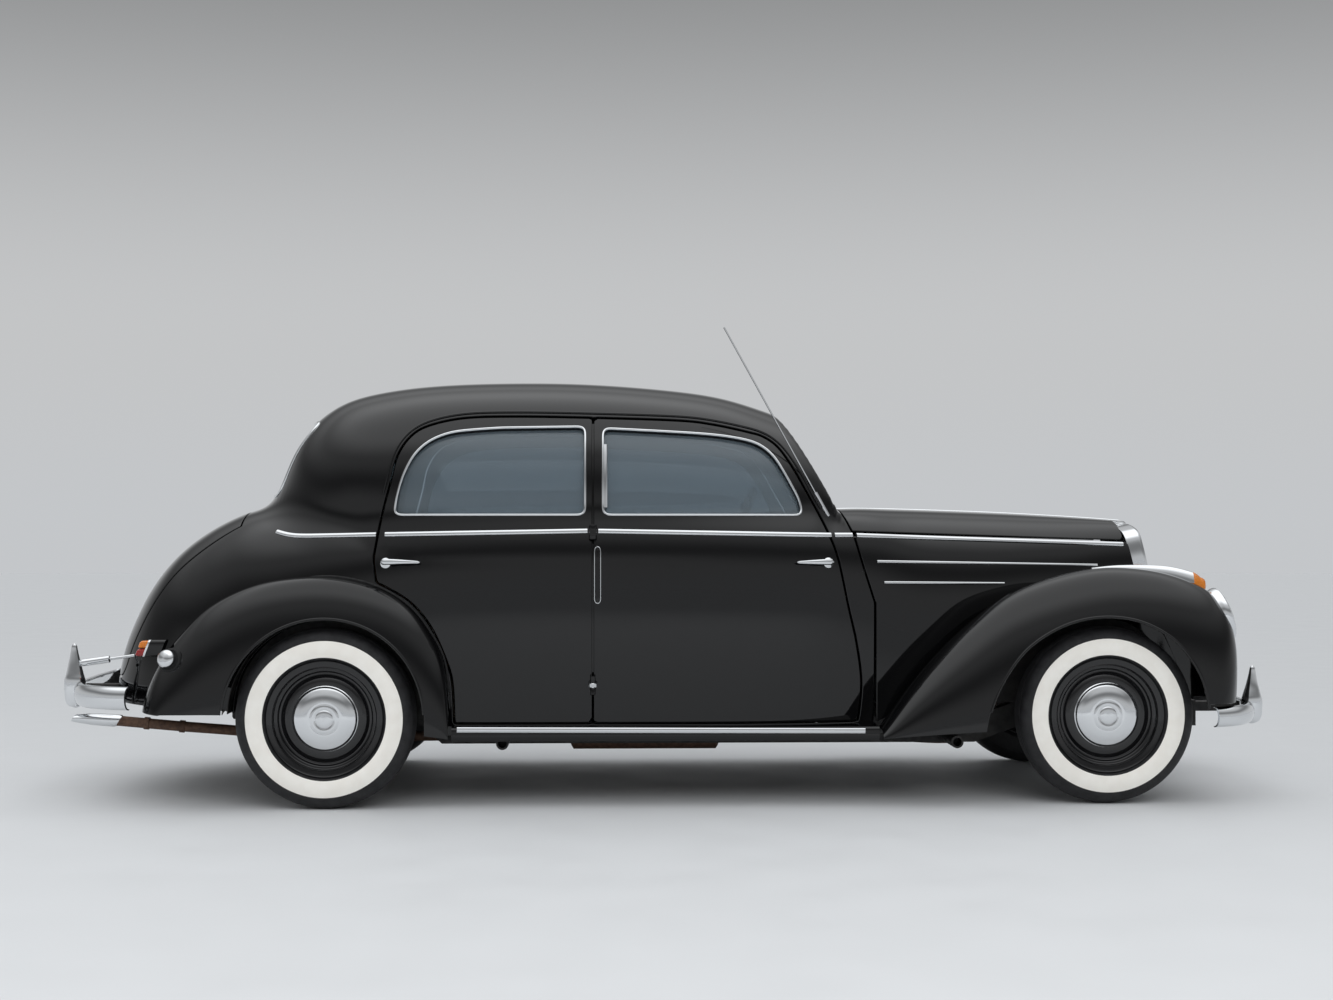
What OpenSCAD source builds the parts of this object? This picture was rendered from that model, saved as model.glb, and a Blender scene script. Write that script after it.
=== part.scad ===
// 1950s four-door saloon: separate frame, hollow steel body, centre-hung doors, folding hood halves.
// Frame of the model: +X towards the nose, +Z up, origin on the ground below the middle of the overall length.

/* [Overall] */
// Distance between the axles
wheelbase = 2845; // [2745:5:2945]
// Front axle to the face of the front overriders
front_overhang = 655; // [635:5:685]
// Rear axle to the face of the rear overriders
rear_overhang = 1005; // [985:5:1045]

/* [Body] */
// Roof crown above the ground
roof_h = 1580; // [1550:5:1620]
// Crease between body side and glasshouse, above the ground
waist_h = 1035; // [1020:5:1050]
// Lower edge of the doors above the ground
sill_h = 300; // [290:2:310]
// Width over the doors
body_w = 1476; // [1450:2:1490]
// How far the glasshouse stands in from the doors at the waist
tumblehome = 58; // [48:1:70]
// How far a rear fender stands out from the doors
rear_fender_out = 104; // [94:2:116]
// How far a front fender stands out from the doors
front_fender_out = 80; // [72:2:92]
// Thickness of a door or body wall
wall = 40; // [32:1:46]
// Thickness of a fender or hood panel
skin = 10; // [8:1:14]
// Gap between two panels
seam = 7; // [6:0.5:9]
// Thickness of the window glass
glass_t = 6; // [4:0.5:8]

/* [Wheels] */
// Middle of a front tyre, measured in from the fender's outer face
front_tyre_in = 160; // [152:2:168]
// Middle of a rear tyre, measured in from the fender's outer face
rear_tyre_in = 124; // [118:2:130]
// Tyre diameter
tyre_d = 650; // [636:2:656]
// Tyre section width
tyre_w = 164; // [150:2:170]
// Rim flange diameter
rim_d = 416; // [404:2:424]
// Hub cap diameter
cap_d = 236; // [216:2:250]
// Wheel spindle diameter
spindle_d = 40; // [34:1:46]
// Radial running clearance of a wheel on its spindle
spindle_fit = 0.05; // [0.02:0.01:0.09]
// Kingpin diameter
kingpin_d = 30; // [24:1:34]

/* [Underside] */
// Distance between the centres of the frame's side rails
rail_gap = 640; // [620:5:660]
// Width of a side rail
rail_w = 60; // [50:2:70]
// Inner diameter of a jack socket
jack_d = 32; // [26:1:36]
// Length of a jack socket's bore
jack_l = 70; // [50:5:80]
// Exhaust pipe diameter
exhaust_d = 48; // [40:1:54]

/* [Hidden] */
$fn = 48;

// Places along the car, measured from the axles and the door post
front_x = (wheelbase + front_overhang + rear_overhang) / 2 - front_overhang;
rear_x = front_x - wheelbase;
post_x = rear_x + 961;
cowl_x = front_x - 905;
nose_x = front_x + front_overhang;
tail_x = rear_x - rear_overhang;

// Sizes at which the tables of sections and outlines below are drawn
drawn_front = 655;
drawn_rear = 1005;
drawn_bay = 979;
drawn_side = 735;
drawn_glass = 545;
// Lengths from the front axle, rear axle, door post and cowl, stretched where a driving size has changed
function fx(d) = front_x + d * (d > 0 ? front_overhang / drawn_front : 1);
function rx(d) = rear_x + d * (d < 0 ? rear_overhang / drawn_rear : 1);
function px(d) = post_x + d * (d > 0 ? (cowl_x - post_x) / drawn_bay : 1);
function cx(d) = cowl_x + d * (d < 0 ? (cowl_x - post_x) / drawn_bay : 1);
// Heights above the door sill, below the waist and below the roof
function sz(d) = sill_h + d * (d > 0 ? (waist_h - sill_h) / drawn_side : 1);
function wz(d) = waist_h - d * (waist_h - sill_h) / drawn_side;
function gz(d) = roof_h - d * (roof_h - waist_h) / drawn_glass;

// Half widths and heights that several pieces share
body_hw = body_w / 2;
glass_hw = body_hw - tumblehome;
front_fender_hw = body_hw + front_fender_out;
rear_fender_hw = body_hw + rear_fender_out;
front_track = 2 * (front_fender_hw - front_tyre_in);
rear_track = 2 * (rear_fender_hw - rear_tyre_in);
axle_h = tyre_d / 2;
hood_h = waist_h + 55;
arch_r = axle_h + 27;
rocker_h = sill_h - 44;
colour_body = "#101114";
colour_chrome = "#c9ccd0";
colour_black = "#1b1b1d";
colour_glass = "#7f8b90";

// Curve through rows of equal length: each row is blended with its neighbours
function blend(a, b, c, d, t) =
    0.5 * (2 * b + (c - a) * t + (2 * a - 5 * b + 4 * c - d) * t * t + (3 * b - a - 3 * c + d) * t * t * t);
function curve(rows, steps) = let (last = len(rows) - 1) concat(
    [for (i = [0 : last - 1], k = [0 : steps - 1])
        blend(rows[max(i - 1, 0)], rows[i], rows[i + 1], rows[min(i + 2, last)], k / steps)],
    [rows[last]]);

// Body sections. Each row is an arch that stands on a base line across the car:
// [base x, base z, crown x, crown z, centre y, half width right, half width left, roundness]
function symmetric(rows) = [for (r = rows) [r[0], r[1], r[2], r[3], 0, r[4], r[4], r[5]]];

// Columns: base x, base z, crown x, crown z, half width, roundness
tub_rows = symmetric([
    [cowl_x + 65, rocker_h, cowl_x + 65, hood_h, body_hw - 112, 6],
    [cx(-60), rocker_h, cx(-60), hood_h - 4, body_hw - 70, 7],
    [cx(-220), rocker_h, cx(-220), waist_h + 44, body_hw - 34, 8.5],
    [px(480), rocker_h, px(480), waist_h + 42, body_hw - 9, 9],
    [px(130), rocker_h, px(130), waist_h + 41, body_hw - 1, 9],
    [post_x - 220, rocker_h, post_x - 220, waist_h + 40, body_hw, 9],
    [rx(395), rocker_h, rx(395), waist_h + 40, body_hw - 5, 8],
    [rx(95), rocker_h, rx(95), waist_h + 44, body_hw - 16, 6],
    [rx(-135), rocker_h, rx(-155), waist_h + 60, body_hw - 38, 4.4],
    [rx(-235), sz(8), rx(-315), waist_h + 54, body_hw - 58, 3.6],
    [rx(-295), sz(14), rx(-435), waist_h + 16, body_hw - 74, 3.2],
    [rx(-335), sz(22), rx(-555), wz(51), body_hw - 88, 3],
    [rx(-360), sz(28), rx(-655), wz(134), body_hw - 98, 2.9],
    [rx(-375), sz(33), rx(-743), wz(246), body_hw - 106, 2.8],
    [rx(-385), sz(37), rx(-808), wz(376), body_hw - 110, 2.8],
    [rx(-390), sz(40), rx(-848), wz(486), body_hw - 112, 2.8],
    [rx(-395), sz(40), rx(-870), sz(130), body_hw - 113, 2.8],
    [rx(-395), sz(40), rx(-876), sz(50), body_hw - 113, 2.8]]);
tub_tuck = 26;

glasshouse_base = waist_h - 85;
// Columns: base x, base z, crown x, crown z, half width, roundness
glasshouse_rows = symmetric([
    [cowl_x + 45, glasshouse_base, cowl_x + 45, gz(252), glass_hw - 118, 2.8],
    [cx(-135), glasshouse_base, cx(-135), gz(172), glass_hw - 78, 2.9],
    [cx(-295), glasshouse_base, cx(-295), gz(112), glass_hw - 46, 3],
    [px(484), glasshouse_base, px(484), gz(52), glass_hw - 20, 3],
    [px(234), glasshouse_base, px(234), gz(20), glass_hw - 5, 3],
    [post_x - 66, glasshouse_base, post_x - 66, gz(1), glass_hw, 3],
    [rx(595), glasshouse_base, rx(595), roof_h, glass_hw - 2, 3],
    [rx(365), glasshouse_base, rx(345), gz(11), glass_hw - 10, 3],
    [rx(245), glasshouse_base, rx(155), gz(34), glass_hw - 22, 2.9],
    [rx(185), glasshouse_base, rx(5), gz(72), glass_hw - 36, 2.8],
    [rx(155), glasshouse_base, rx(-105), gz(142), glass_hw - 48, 2.7],
    [rx(140), glasshouse_base, rx(-187), gz(235), glass_hw - 56, 2.6],
    [rx(130), glasshouse_base, rx(-243), gz(352), glass_hw - 61, 2.5],
    [rx(125), glasshouse_base, rx(-287), gz(470), glass_hw - 64, 2.5],
    [rx(125), glasshouse_base, rx(-315), glasshouse_base + 40, glass_hw - 64, 2.5]]);

hood_base = wz(400);
// Columns: base x, base z, crown x, crown z, half width, roundness
hood_rows = symmetric([
    [cowl_x + 40, sill_h - 16, cowl_x + 40, hood_h - 1, body_hw - 105, 6.4],
    [cowl_x + 190, sz(50), cowl_x + 190, hood_h - 3, body_hw - 152, 4.8],
    [fx(-500), sz(160), fx(-500), hood_h - 9, body_hw - 220, 3.9],
    [fx(-260), sz(290), fx(-260), hood_h - 18, body_hw - 306, 3.3],
    [fx(-20), hood_base, fx(-20), hood_h - 31, body_hw - 402, 3.1],
    [fx(150), hood_base, fx(150), hood_h - 42, body_hw - 474, 3.3],
    [fx(310), hood_base, fx(270), hood_h - 52, body_hw - 522, 3.6]]);

front_fender_y = -front_fender_hw;
// Columns: base x, base z, crown x, crown z, crest from the outer face, inner half width, roundness
front_fender_rows = [
    for (r = [
        [cowl_x + 68, sill_h - 50, cowl_x + 68, sill_h - 18, 88, 60, 2.2],
        [cowl_x + 175, sill_h - 45, cowl_x + 175, sz(124), 126, 66, 2.2],
        [fx(-615), sill_h - 40, fx(-615), sz(250), 160, 74, 2.2],
        [fx(-500), sill_h - 35, fx(-500), sz(354), 182, 96, 2.2],
        [fx(-350), sill_h - 30, fx(-350), sz(462), 196, 126, 2.3],
        [fx(-180), sill_h - 25, fx(-180), sz(527), 204, 164, 2.4],
        [fx(0), sill_h - 15, fx(0), sz(563), 208, 206, 2.5],
        [fx(160), sill_h, fx(170), sz(558), 210, 214, 2.5],
        [fx(260), sz(10), fx(300), sz(528), 210, 212, 2.5],
        [fx(305), sz(15), fx(400), sz(478), 210, 206, 2.45],
        [fx(330), sz(18), fx(464), sz(400), 210, 200, 2.4],
        [fx(345), sz(20), fx(490), sz(310), 210, 196, 2.4],
        [fx(355), sz(20), fx(495), sz(200), 210, 194, 2.4],
        [fx(358), sz(20), fx(488), sz(60), 210, 194, 2.4]])
    [r[0], r[1], r[2], r[3], front_fender_y + r[4], r[4], r[5], r[6]]];

rear_fender_y = -rear_fender_hw;
// Columns: base x, base z, crown x, crown z, crest from the outer face, inner half width, roundness
rear_fender_rows = [
    for (r = [
        [rx(445), sill_h - 45, rx(445), sz(60), 105, 40, 2.1],
        [rx(425), sill_h - 45, rx(425), sz(230), 122, 40, 2.2],
        [rx(367), sill_h - 40, rx(367), sz(345), 132, 40, 2.3],
        [rx(295), sill_h - 30, rx(295), sz(434), 138, 44, 2.4],
        [rx(187), sill_h - 10, rx(187), sz(498), 142, 48, 2.5],
        [rx(42), sz(10), rx(42), sz(532), 144, 54, 2.5],
        [rx(-105), sz(25), rx(-105), sz(532), 148, 60, 2.5],
        [rx(-262), sz(34), rx(-265), sz(504), 160, 66, 2.4],
        [rx(-400), sz(38), rx(-420), sz(432), 178, 70, 2.3],
        [rx(-490), sz(40), rx(-530), sz(330), 192, 76, 2.2],
        [rx(-540), sz(42), rx(-605), sz(230), 200, 80, 2.2],
        [rx(-570), sz(44), rx(-650), sz(130), 206, 82, 2.2],
        [rx(-580), sz(44), rx(-668), sz(54), 208, 82, 2.2]])
    [r[0], r[1], r[2], r[3], rear_fender_y + r[4], r[4], r[5], r[6]]];

// One arch as points: a rounded outline from the right foot over the crown to the left foot.
// inset moves it inwards, drop lengthens its feet downwards, tuck draws its feet in.
// The squarer the arch, the more its points crowd towards its shoulders.
function arch(row, count, inset, drop, tuck) =
    let (rise = [row[2] - row[0], row[3] - row[1]], tall = norm(rise), up = rise / tall, n = row[7])
    concat(
        [for (k = [0 : count])
            let (even = 180 * k / count, a = even + min(n, 9) * sin(4 * even), c = cos(a), s = sin(a),
                 r = pow(pow(abs(c), n) + pow(s, n), -1 / n),
                 v = r * s * (tall - inset),
                 half = (c > 0 ? row[5] : row[6]) - inset - tuck * pow(max(0, 1 - r * s), 2))
            [row[0] + up[0] * v, row[4] - r * c * half, row[1] + up[1] * v]],
        drop > 0 ? [for (half = [-row[5] + inset + tuck, row[6] - inset - tuck])
            [row[0], row[4] + half, row[1] - drop]] : []);

// A solid through a list of arches, one convex slice at a time
module loft(rows, count = 12, inset = 0, drop = 0, tuck = 0) {
    arches = [for (row = rows) arch(row, count, inset, drop, tuck)];
    for (i = [0 : len(arches) - 2])
        hull() polyhedron(concat(arches[i], arches[i + 1]), [[for (k = [0 : 2 * len(arches[i]) - 1]) k]]);
}

// Inner surfaces are coarser than the outer ones
function sides(inset, count) = inset > 0 ? count - 4 : count;
module tub(inset = 0, drop = 0) loft(tub_rows, sides(inset, 12), inset, drop, tub_tuck);
module glasshouse(inset = 0, drop = 0) loft(glasshouse_rows, sides(inset, 12), inset, drop);

// Windscreen plane: a point on it and its lean from the vertical
screen_x = cx(-75);
screen_z = hood_h;
screen_lean = 28.8;
module behind_screen(offset_in) {
    translate([screen_x - offset_in, 0, screen_z]) rotate([0, -screen_lean, 0])
        translate([-3000, -1000, -1000]) cube([3000, 2000, 4000]);
}

// Everything inside the outer surface of the cabin and tail, grown inwards by inset
module cabin(inset = 0, drop = 0) {
    tub(inset, drop);
    intersection() {
        glasshouse(inset, inset > 0 ? 60 : 0);
        behind_screen(inset);
    }
}

// Room inside the body: ends at the bulkhead behind the hood
module cabin_room(inset = wall) {
    intersection() {
        cabin(inset, 60);
        translate([tail_x + inset, -body_w, 0]) cube([cowl_x - tail_x - inset, 2 * body_w, 2 * roof_h]);
    }
}

// A flat outline in side view, made a prism across the right half of the car
module across(from_y = -body_w, to_y = -200) {
    translate([0, to_y, 0]) rotate([90, 0, 0]) linear_extrude(to_y - from_y) children();
}

// Round space for a rear wheel, open downwards
module rear_wheel_room(r) {
    across(-body_w, -rear_track / 2 + tyre_w / 2 + 24 + (r > arch_r ? skin : 0)) translate([rear_x, axle_h]) {
        circle(r, $fn = 28);
        translate([-r, -axle_h]) square([2 * r, axle_h]);
    }
}

module each_side() {
    children();
    mirror([0, 1, 0]) children();
}

// Outlines of the doors and windows in side view
door_top = [for (p = [[0, -159], [319, -168], [451, -183], [584, -211], [637, -227], [690, -267], [743, -346],
                      [783, -419], [830, -505], [870, -591]]) [px(p[0]), gz(-p[1])]];
front_door_edge = [for (p = [[903, -138], [940, -310], [972, -445], [992, -595], [980, -737]])
    [px(p[0]), wz(-p[1])]];
rear_door_top = [for (p = [[0, -159], [-277, -155], [-474, -161], [-605, -190], [-670, -230], [-716, -302],
                           [-740, -400], [-772, -530], [-796, -680]]) [px(p[0]), gz(-p[1])]];
rear_door_edge = [for (p = [[178, 810], [205, 800], [300, 742], [376, 650], [434, 518], [452, 440], [458, 300]])
    [rx(p[0]), sz(p[1] - 300)]];

module front_door_outline() {
    polygon(concat([[post_x, sill_h]], curve(concat(door_top, front_door_edge), 2)));
}
module rear_door_outline() {
    polygon(concat([[post_x, sill_h]], curve(rear_door_top, 2), curve(rear_door_edge, 2)));
}
module rounded(r) offset(r, $fn = 16) offset(delta = -r) children();

window_sill = waist_h + 27;
module front_window_outline() {
    rounded(30) polygon(concat(
        [[px(40), window_sill], [px(40), gz(204)]],
        curve([for (p = [[250, -214], [420, -224], [530, -237], [610, -258], [664, -300], [704, -362], [760, -466]])
            [px(p[0]), gz(-p[1])]], 2),
        [[px(770), window_sill]]));
}
module rear_window_outline() {
    rounded(30) polygon(concat(
        [[post_x - 32, window_sill], [post_x - 32, gz(198)]],
        curve([for (p = [[-340, -203], [-471, -213], [-537, -225], [-601, -254], [-653, -304], [-692, -382],
                         [-712, -452]]) [px(p[0]), gz(-p[1])]], 2),
        [[post_x - 722, window_sill]]));
}

// A door is the body wall inside its outline. Below the flange it is smaller, so that it swings past the pillars.
flange = 14;
post_hw = 25;
module door_panel() difference() {
    intersection() {
        cabin();
        across() offset(delta = -seam / 2) children();
    }
    cabin(wall, 60);
    across() front_window_outline();
    across() rear_window_outline();
    intersection() {
        cabin(flange, 60);
        union() {
            translate([post_x - post_hw - seam, -body_w, 0]) cube([2 * (post_hw + seam), body_w, 2 * roof_h]);
            difference() {
                translate([tail_x, -body_w, 0]) cube([nose_x - tail_x, body_w, 2 * roof_h]);
                across() offset(delta = -seam / 2 - 8) children();
            }
        }
    }
}

handle_h = wz(152);
handle_r = 9;
module handle(x_from, x_to, surface) {
    reach = surface + 34;
    for (x = [x_from + 12, x_to - 12]) translate([x, -reach, handle_h]) rotate([-90, 0, 0])
        cylinder(60, r = 7, $fn = 8);
    hull() for (x = [x_from, x_to]) translate([x, -reach, handle_h]) sphere(handle_r, $fn = 8);
}

module front_door() color(colour_body) {
    door_panel() front_door_outline();
    handle(px(742), px(880), body_hw - 42);
}
module rear_door() color(colour_body) {
    door_panel() rear_door_outline();
    handle(rx(193), rx(337), body_hw - 10);
}

module front_door_glass() color(colour_glass) pane() front_window_outline();
module rear_door_glass() color(colour_glass) pane() rear_window_outline();
pane_depth = 16;
module pane() intersection() {
    difference() {
        cabin(pane_depth, 60);
        cabin(pane_depth + glass_t, 60);
    }
    across() offset(delta = -0.3) children();
}

// Windscreen: the part of the screen plane that lies inside the pillars
pillar_t = 46;
module screen_opening(from_depth, to_depth, inset) intersection() {
    glasshouse(inset, 60);
    behind_screen(from_depth);
    difference() {
        translate([-3000, -1000, hood_h + 6 + inset - pillar_t]) cube([6000, 2000, 1000]);
        behind_screen(to_depth);
    }
}
module windscreen() color(colour_glass) screen_opening(pane_depth, pane_depth + glass_t, pillar_t + 0.3);

rear_window_z = gz(306);
module rear_window_prism(shrink) {
    translate([rx(-60), 0, 0]) rotate([90, 0, -90]) linear_extrude(500)
        offset(delta = -shrink) rounded(80) translate([-340, rear_window_z - 140]) square([680, 280]);
}
module rear_window() color(colour_glass) intersection() {
    difference() {
        glasshouse(pane_depth, 60);
        glasshouse(pane_depth + glass_t, 60);
    }
    rear_window_prism(0.3);
}

// Trunk lid: hinged at its upper edge
lid_hw = 440;
lid_x = rx(-360);
lid_z = sz(152);
module lid_prism(grow) {
    translate([lid_x + grow, 0, 0]) rotate([90, 0, -90]) linear_extrude(1000)
        offset(delta = grow) rounded(70) translate([-lid_hw, lid_z]) square([2 * lid_hw, 1000]);
}
lid_t = 30;
lid_axis_h = waist_h + 57;
lid_pin_r = 5;
pin_play = 0.3;
module at_lid_hinge() each_side() translate([lid_x, -200, lid_axis_h]) rotate([90, 0, 0]) children();
module lid_lugs() at_lid_hinge() {
    cylinder(54, r = lid_pin_r, center = true, $fn = 12);
    for (z = [-22, 12]) translate([0, 0, z]) linear_extrude(10)
        polygon([[-7, -5], [-2, -9], [seam, -11], [seam, -40], [40, -40], [40, 0], [8, 9], [-3, 8], [-7, 5]]);
}
module trunk_lid() color(colour_body) difference() {
    union() {
        intersection() {
            difference() {
                tub();
                tub(lid_t, 60);
            }
            lid_prism(-seam / 2);
        }
        at_lid_hinge() {
            cylinder(14, r = 10, center = true, $fn = 12);
            translate([0, 0, -7]) linear_extrude(14) polygon([[-46, -34], [-seam / 2, -34], [-seam / 2, -8], [0, -8], [0, 6],
                [-20, 4], [-46, -14]]);
        }
    }
    at_lid_hinge() cylinder(20, r = lid_pin_r + pin_play, center = true, $fn = 12);
}

axle_room = 60;
module body_shell() color(colour_body) {
    lid_lugs();
    difference() {
        cabin();
        difference() {
            cabin_room();
            each_side() rear_wheel_room(arch_r + skin);
        }
        each_side() {
            rear_wheel_room(arch_r);
            across() offset(delta = seam / 2) front_door_outline();
            across() offset(delta = seam / 2) rear_door_outline();
        }
        screen_opening(-60, 120, pillar_t);
        rear_window_prism(0);
        lid_prism(seam / 2);
        each_side() translate([tail_x, -rail_gap / 2 - rail_w / 2, rear_bumper_h - 26]) cube([600, rail_w, 52]);
        tunnel(0);
        translate([rear_x - axle_room, -body_w, 0]) cube([2 * axle_room, 2 * body_w, axle_h + axle_room]);
        translate([cowl_x - wall, -rail_out - seam, 0]) cube([wall + 100, 2 * (rail_out + seam), rail_top + seam]);
    }
}

// Door posts: the section of the body behind the door gap, with the fixed barrels of the door hinges on them
hinge_y = body_hw + 14;
hinge_low = sz(141);
hinge_high = wz(39);
hinge_in = 28;
hinge_r = 9;
hinge_l = 66;
leaf_t = 5.6;
function at_post(rows) = let (i = [for (k = [0 : len(rows) - 2]) if (rows[k + 1][0] <= post_x) k][0],
    t = (rows[i][0] - post_x) / (rows[i][0] - rows[i + 1][0])) rows[i] + t * (rows[i + 1] - rows[i]);
module post_section(inset) {
    for (part = [[tub_rows, tub_tuck], [glasshouse_rows, 0]])
        polygon([for (p = arch(at_post(part[0]), sides(inset, 12), inset, 60, part[1])) [p[1], p[2]]]);
}
module door_post() {
    translate([post_x - post_hw, 0, 0]) rotate([90, 0, 90]) linear_extrude(2 * post_hw) intersection() {
        difference() {
            post_section(flange + seam);
            post_section(wall);
        }
        translate([-body_w, sill_h - seam / 2]) square([body_w, gz(159) - sill_h + seam - 1.6]);
    }
    translate([post_x, -hinge_y, hinge_low]) rotate([-atan(hinge_in / (hinge_high - hinge_low)), 0, 0])
        for (z = [0, hinge_high - hinge_low]) translate([0, 0, z]) {
            cylinder(hinge_l, r = hinge_r, center = true);
            translate([-leaf_t / 2, 0, -hinge_l / 2]) cube([leaf_t, z > 0 ? 70 : 58, hinge_l]);
        }
}
module door_posts() color(colour_body) each_side() door_post();

// Fenders: thin shells, open below, cut away where the wheel and the body are
// Columns: distance from the axle along the car and in height, for a room of the drawn radius
drawn_arch = 352;
front_opening = curve([for (p = [[-470, -105], [-452, 5], [-402, 125], [-310, 245], [-180, 327], [-40, 361],
                                 [100, 347], [222, 283], [302, 183], [342, 73], [354, -105]])
    [front_x, axle_h] + p * arch_r / drawn_arch], 2);
module front_wheel_room(to_y) across(-body_w, to_y) polygon(front_opening);
module front_fender_solid(inset = 0, drop = 0) loft(front_fender_rows, sides(inset, 11), inset, drop);
module rear_fender_solid(inset = 0, drop = 0) loft(rear_fender_rows, sides(inset, 11), inset, drop);
module hood_solid(inset = 0) loft(hood_rows, sides(inset, 11), inset, inset > 0 ? 40 : 0);

lamp_x = fx(452);
lamp_y = front_fender_y + 208;
lamp_h = sz(388);
lamp_d = 206;
lamp_lean = 20;
module at_headlamp() translate([lamp_x, lamp_y, lamp_h]) rotate([0, 90 - lamp_lean, 0]) children();

module front_fender() color(colour_body) difference() {
    front_fender_solid();
    front_fender_solid(skin, 120);
    front_wheel_room(-200);
    tub(0, 200);
    hood_solid();
    at_headlamp() translate([0, 0, -70]) cylinder(200, d = lamp_d + 1.4);
    translate([fx(320), -body_w, 0]) cube([nose_x, body_w, front_bumper_h + front_bumper_t / 2 + 10]);
}

module rear_fender() color(colour_body) difference() {
    rear_fender_solid();
    rear_fender_solid(skin, 120);
    rear_wheel_room(arch_r + 8);
    tub(0, 200);
}
module rear_fender_right() color(colour_body) {
    rear_fender();
    filler_cap();
}
cap_x = rx(-555);
cap_z = sz(252);
module filler_cap() difference() {
    translate([cap_x, rear_fender_y + 72, cap_z]) rotate([90, 0, -28]) cylinder(58, d1 = 96, d2 = 70, $fn = 16);
    rear_fender_solid(skin / 2);
}

module running_board() {
    x_from = rx(446);
    x_to = cowl_x + 66;
    across(-body_hw - 32, -body_hw + 40) polygon([[x_from, sill_h - 60], [x_to, sill_h - 64], [x_to, sill_h - 8],
        [x_from, sill_h - 8]]);
}
module running_boards() color(colour_body) each_side() difference() {
    running_board();
    tub(0, 0);
    front_fender_solid();
    rear_fender_solid();
}

// Hood: two halves that fold up from a fixed strip on the crown, above fixed sides
hood_seam_h = wz(50);
hood_slope = 1.76;
hood_slot = 14;
hood_pin_r = 5;
hood_axis_slope = 2.54;
hood_eyes = [120, 470, 820];
module at_hood_axis() translate([cowl_x + 71.5, 0, hood_h + 10]) rotate([0, hood_axis_slope, 0]) children();
module below_hood_seam(offset_z) {
    translate([cowl_x - 52, -body_w, hood_seam_h + offset_z]) rotate([0, hood_slope, 0])
        translate([-200, 0, -1000]) cube([2000, 2 * body_w, 1000]);
}
module hood_skin(gap_back, gap_front) difference() {
    intersection() {
        hood_solid();
        translate([cowl_x + 65 + gap_back, -body_w, 0]) cube([nose_x, 2 * body_w, 2 * roof_h]);
        at_shell() translate([-2000 - shell_depth - gap_front, -body_w, -1000]) cube([2000, 2 * body_w, 3000]);
    }
    hood_solid(skin);
}
module hood(eye_shift = 0) color(colour_body) difference() {
    union() {
        difference() {
            hood_skin(seam, 2 * seam + 2);
            below_hood_seam(seam / 2);
            translate([0, -hood_slot, 0]) cube([nose_x, body_w, 2 * roof_h]);
        }
        at_hood_axis() for (x = hood_eyes) translate([x + eye_shift, 0, 0]) {
            rotate([0, 90, 0]) cylinder(70, r = 8.5, $fn = 12);
            translate([0, -44, -16]) cube([70, 40, 20]);
        }
    }
    at_hood_axis() rotate([0, 90, 0]) cylinder(1100, r = hood_pin_r + pin_play, $fn = 12);
}
module hood_hinge() color(colour_chrome) {
    at_hood_axis() translate([10, 0, 0]) rotate([0, 90, 0]) cylinder(1022, r = hood_pin_r, $fn = 24);
    translate([cowl_x + 65, -9, hood_h - 40]) cube([22, 18, 54]);
    intersection() {
        translate([fx(180), -9, hood_h - 64]) cube([80, 18, 42]);
        at_shell() translate([-300 - shell_depth, -50, 0]) cube([300, 100, 1000]);
    }
}
module hood_sides() color(colour_body) intersection() {
    hood_skin(0, 0);
    below_hood_seam(-seam / 2);
}

// Radiator shell, leaning back
shell_lean = 11.6;
shell_foot = sz(118);
shell_h = (hood_h - 57 - shell_foot) / cos(shell_lean);
shell_hw = 214;
shell_foot_hw = 182;
shell_depth = 66;
shell_rim = 30;
module at_shell() translate([fx(388), 0, shell_foot]) rotate([0, -shell_lean, 0]) children();
module shell_outline(inset) offset(delta = -inset) rounded(70)
    polygon([[-shell_foot_hw, 0], [shell_foot_hw, 0], [shell_hw, shell_h - 130], [shell_hw - 20, shell_h - 30],
        [90, shell_h], [-90, shell_h], [-shell_hw + 20, shell_h - 30], [-shell_hw, shell_h - 130]]);
module shell_prism(inset, from_x, to_x) at_shell() translate([from_x, 0, 0]) rotate([90, 0, 90])
    linear_extrude(to_x - from_x) shell_outline(inset);
module radiator_shell() color(colour_chrome) {
    difference() {
        shell_prism(0, -shell_depth, 0);
        shell_prism(shell_rim, -shell_depth - 1, 1);
    }
    at_shell() translate([-shell_depth / 2, 0, shell_h - 2]) cylinder(14, d1 = 64, d2 = 48);
}
slat_gap = 17;
module grille() color(colour_black) at_shell() intersection() {
    translate([-shell_depth, 0, 0]) rotate([90, 0, 90]) linear_extrude(shell_depth - 8) shell_outline(shell_rim);
    union() {
        translate([-shell_depth, -300, 0]) cube([14, 600, 700]);
        for (y = [-shell_hw + 27 : slat_gap : shell_hw]) translate([-shell_depth + 10, y - 2, 0]) cube([30, 4, 700]);
        translate([-shell_depth + 10, -9, 0]) cube([46, 18, 700]);
    }
}

apron_hw = front_fender_hw - 388;
// Valley between the hood and the fenders, and the apron below the radiator
// Columns: base x, base z, crown x, crown z, half width, roundness
apron_rows = symmetric([
    [fx(-600), sz(70), fx(-600), sz(130), apron_hw + 210, 9],
    [fx(-480), sz(180), fx(-480), sz(240), apron_hw + 210, 9],
    [fx(-350), sz(280), fx(-350), sz(340), apron_hw + 190, 9],
    [fx(-180), sz(342), fx(-180), sz(402), apron_hw + 160, 9],
    [fx(0), sz(356), fx(0), sz(416), apron_hw + 110, 9],
    [fx(150), sz(340), fx(150), sz(408), apron_hw + 70, 8],
    [fx(240), sz(290), fx(260), sz(376), apron_hw + 30, 6],
    [fx(290), sz(180), fx(335), sz(305), apron_hw + 5, 4.4],
    [fx(330), sz(64), fx(395), sz(225), apron_hw, 3.4],
    [fx(347), sz(64), fx(425), sz(145), apron_hw, 3],
    [fx(351), sz(64), fx(432), sz(84), apron_hw, 3]]);
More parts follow.
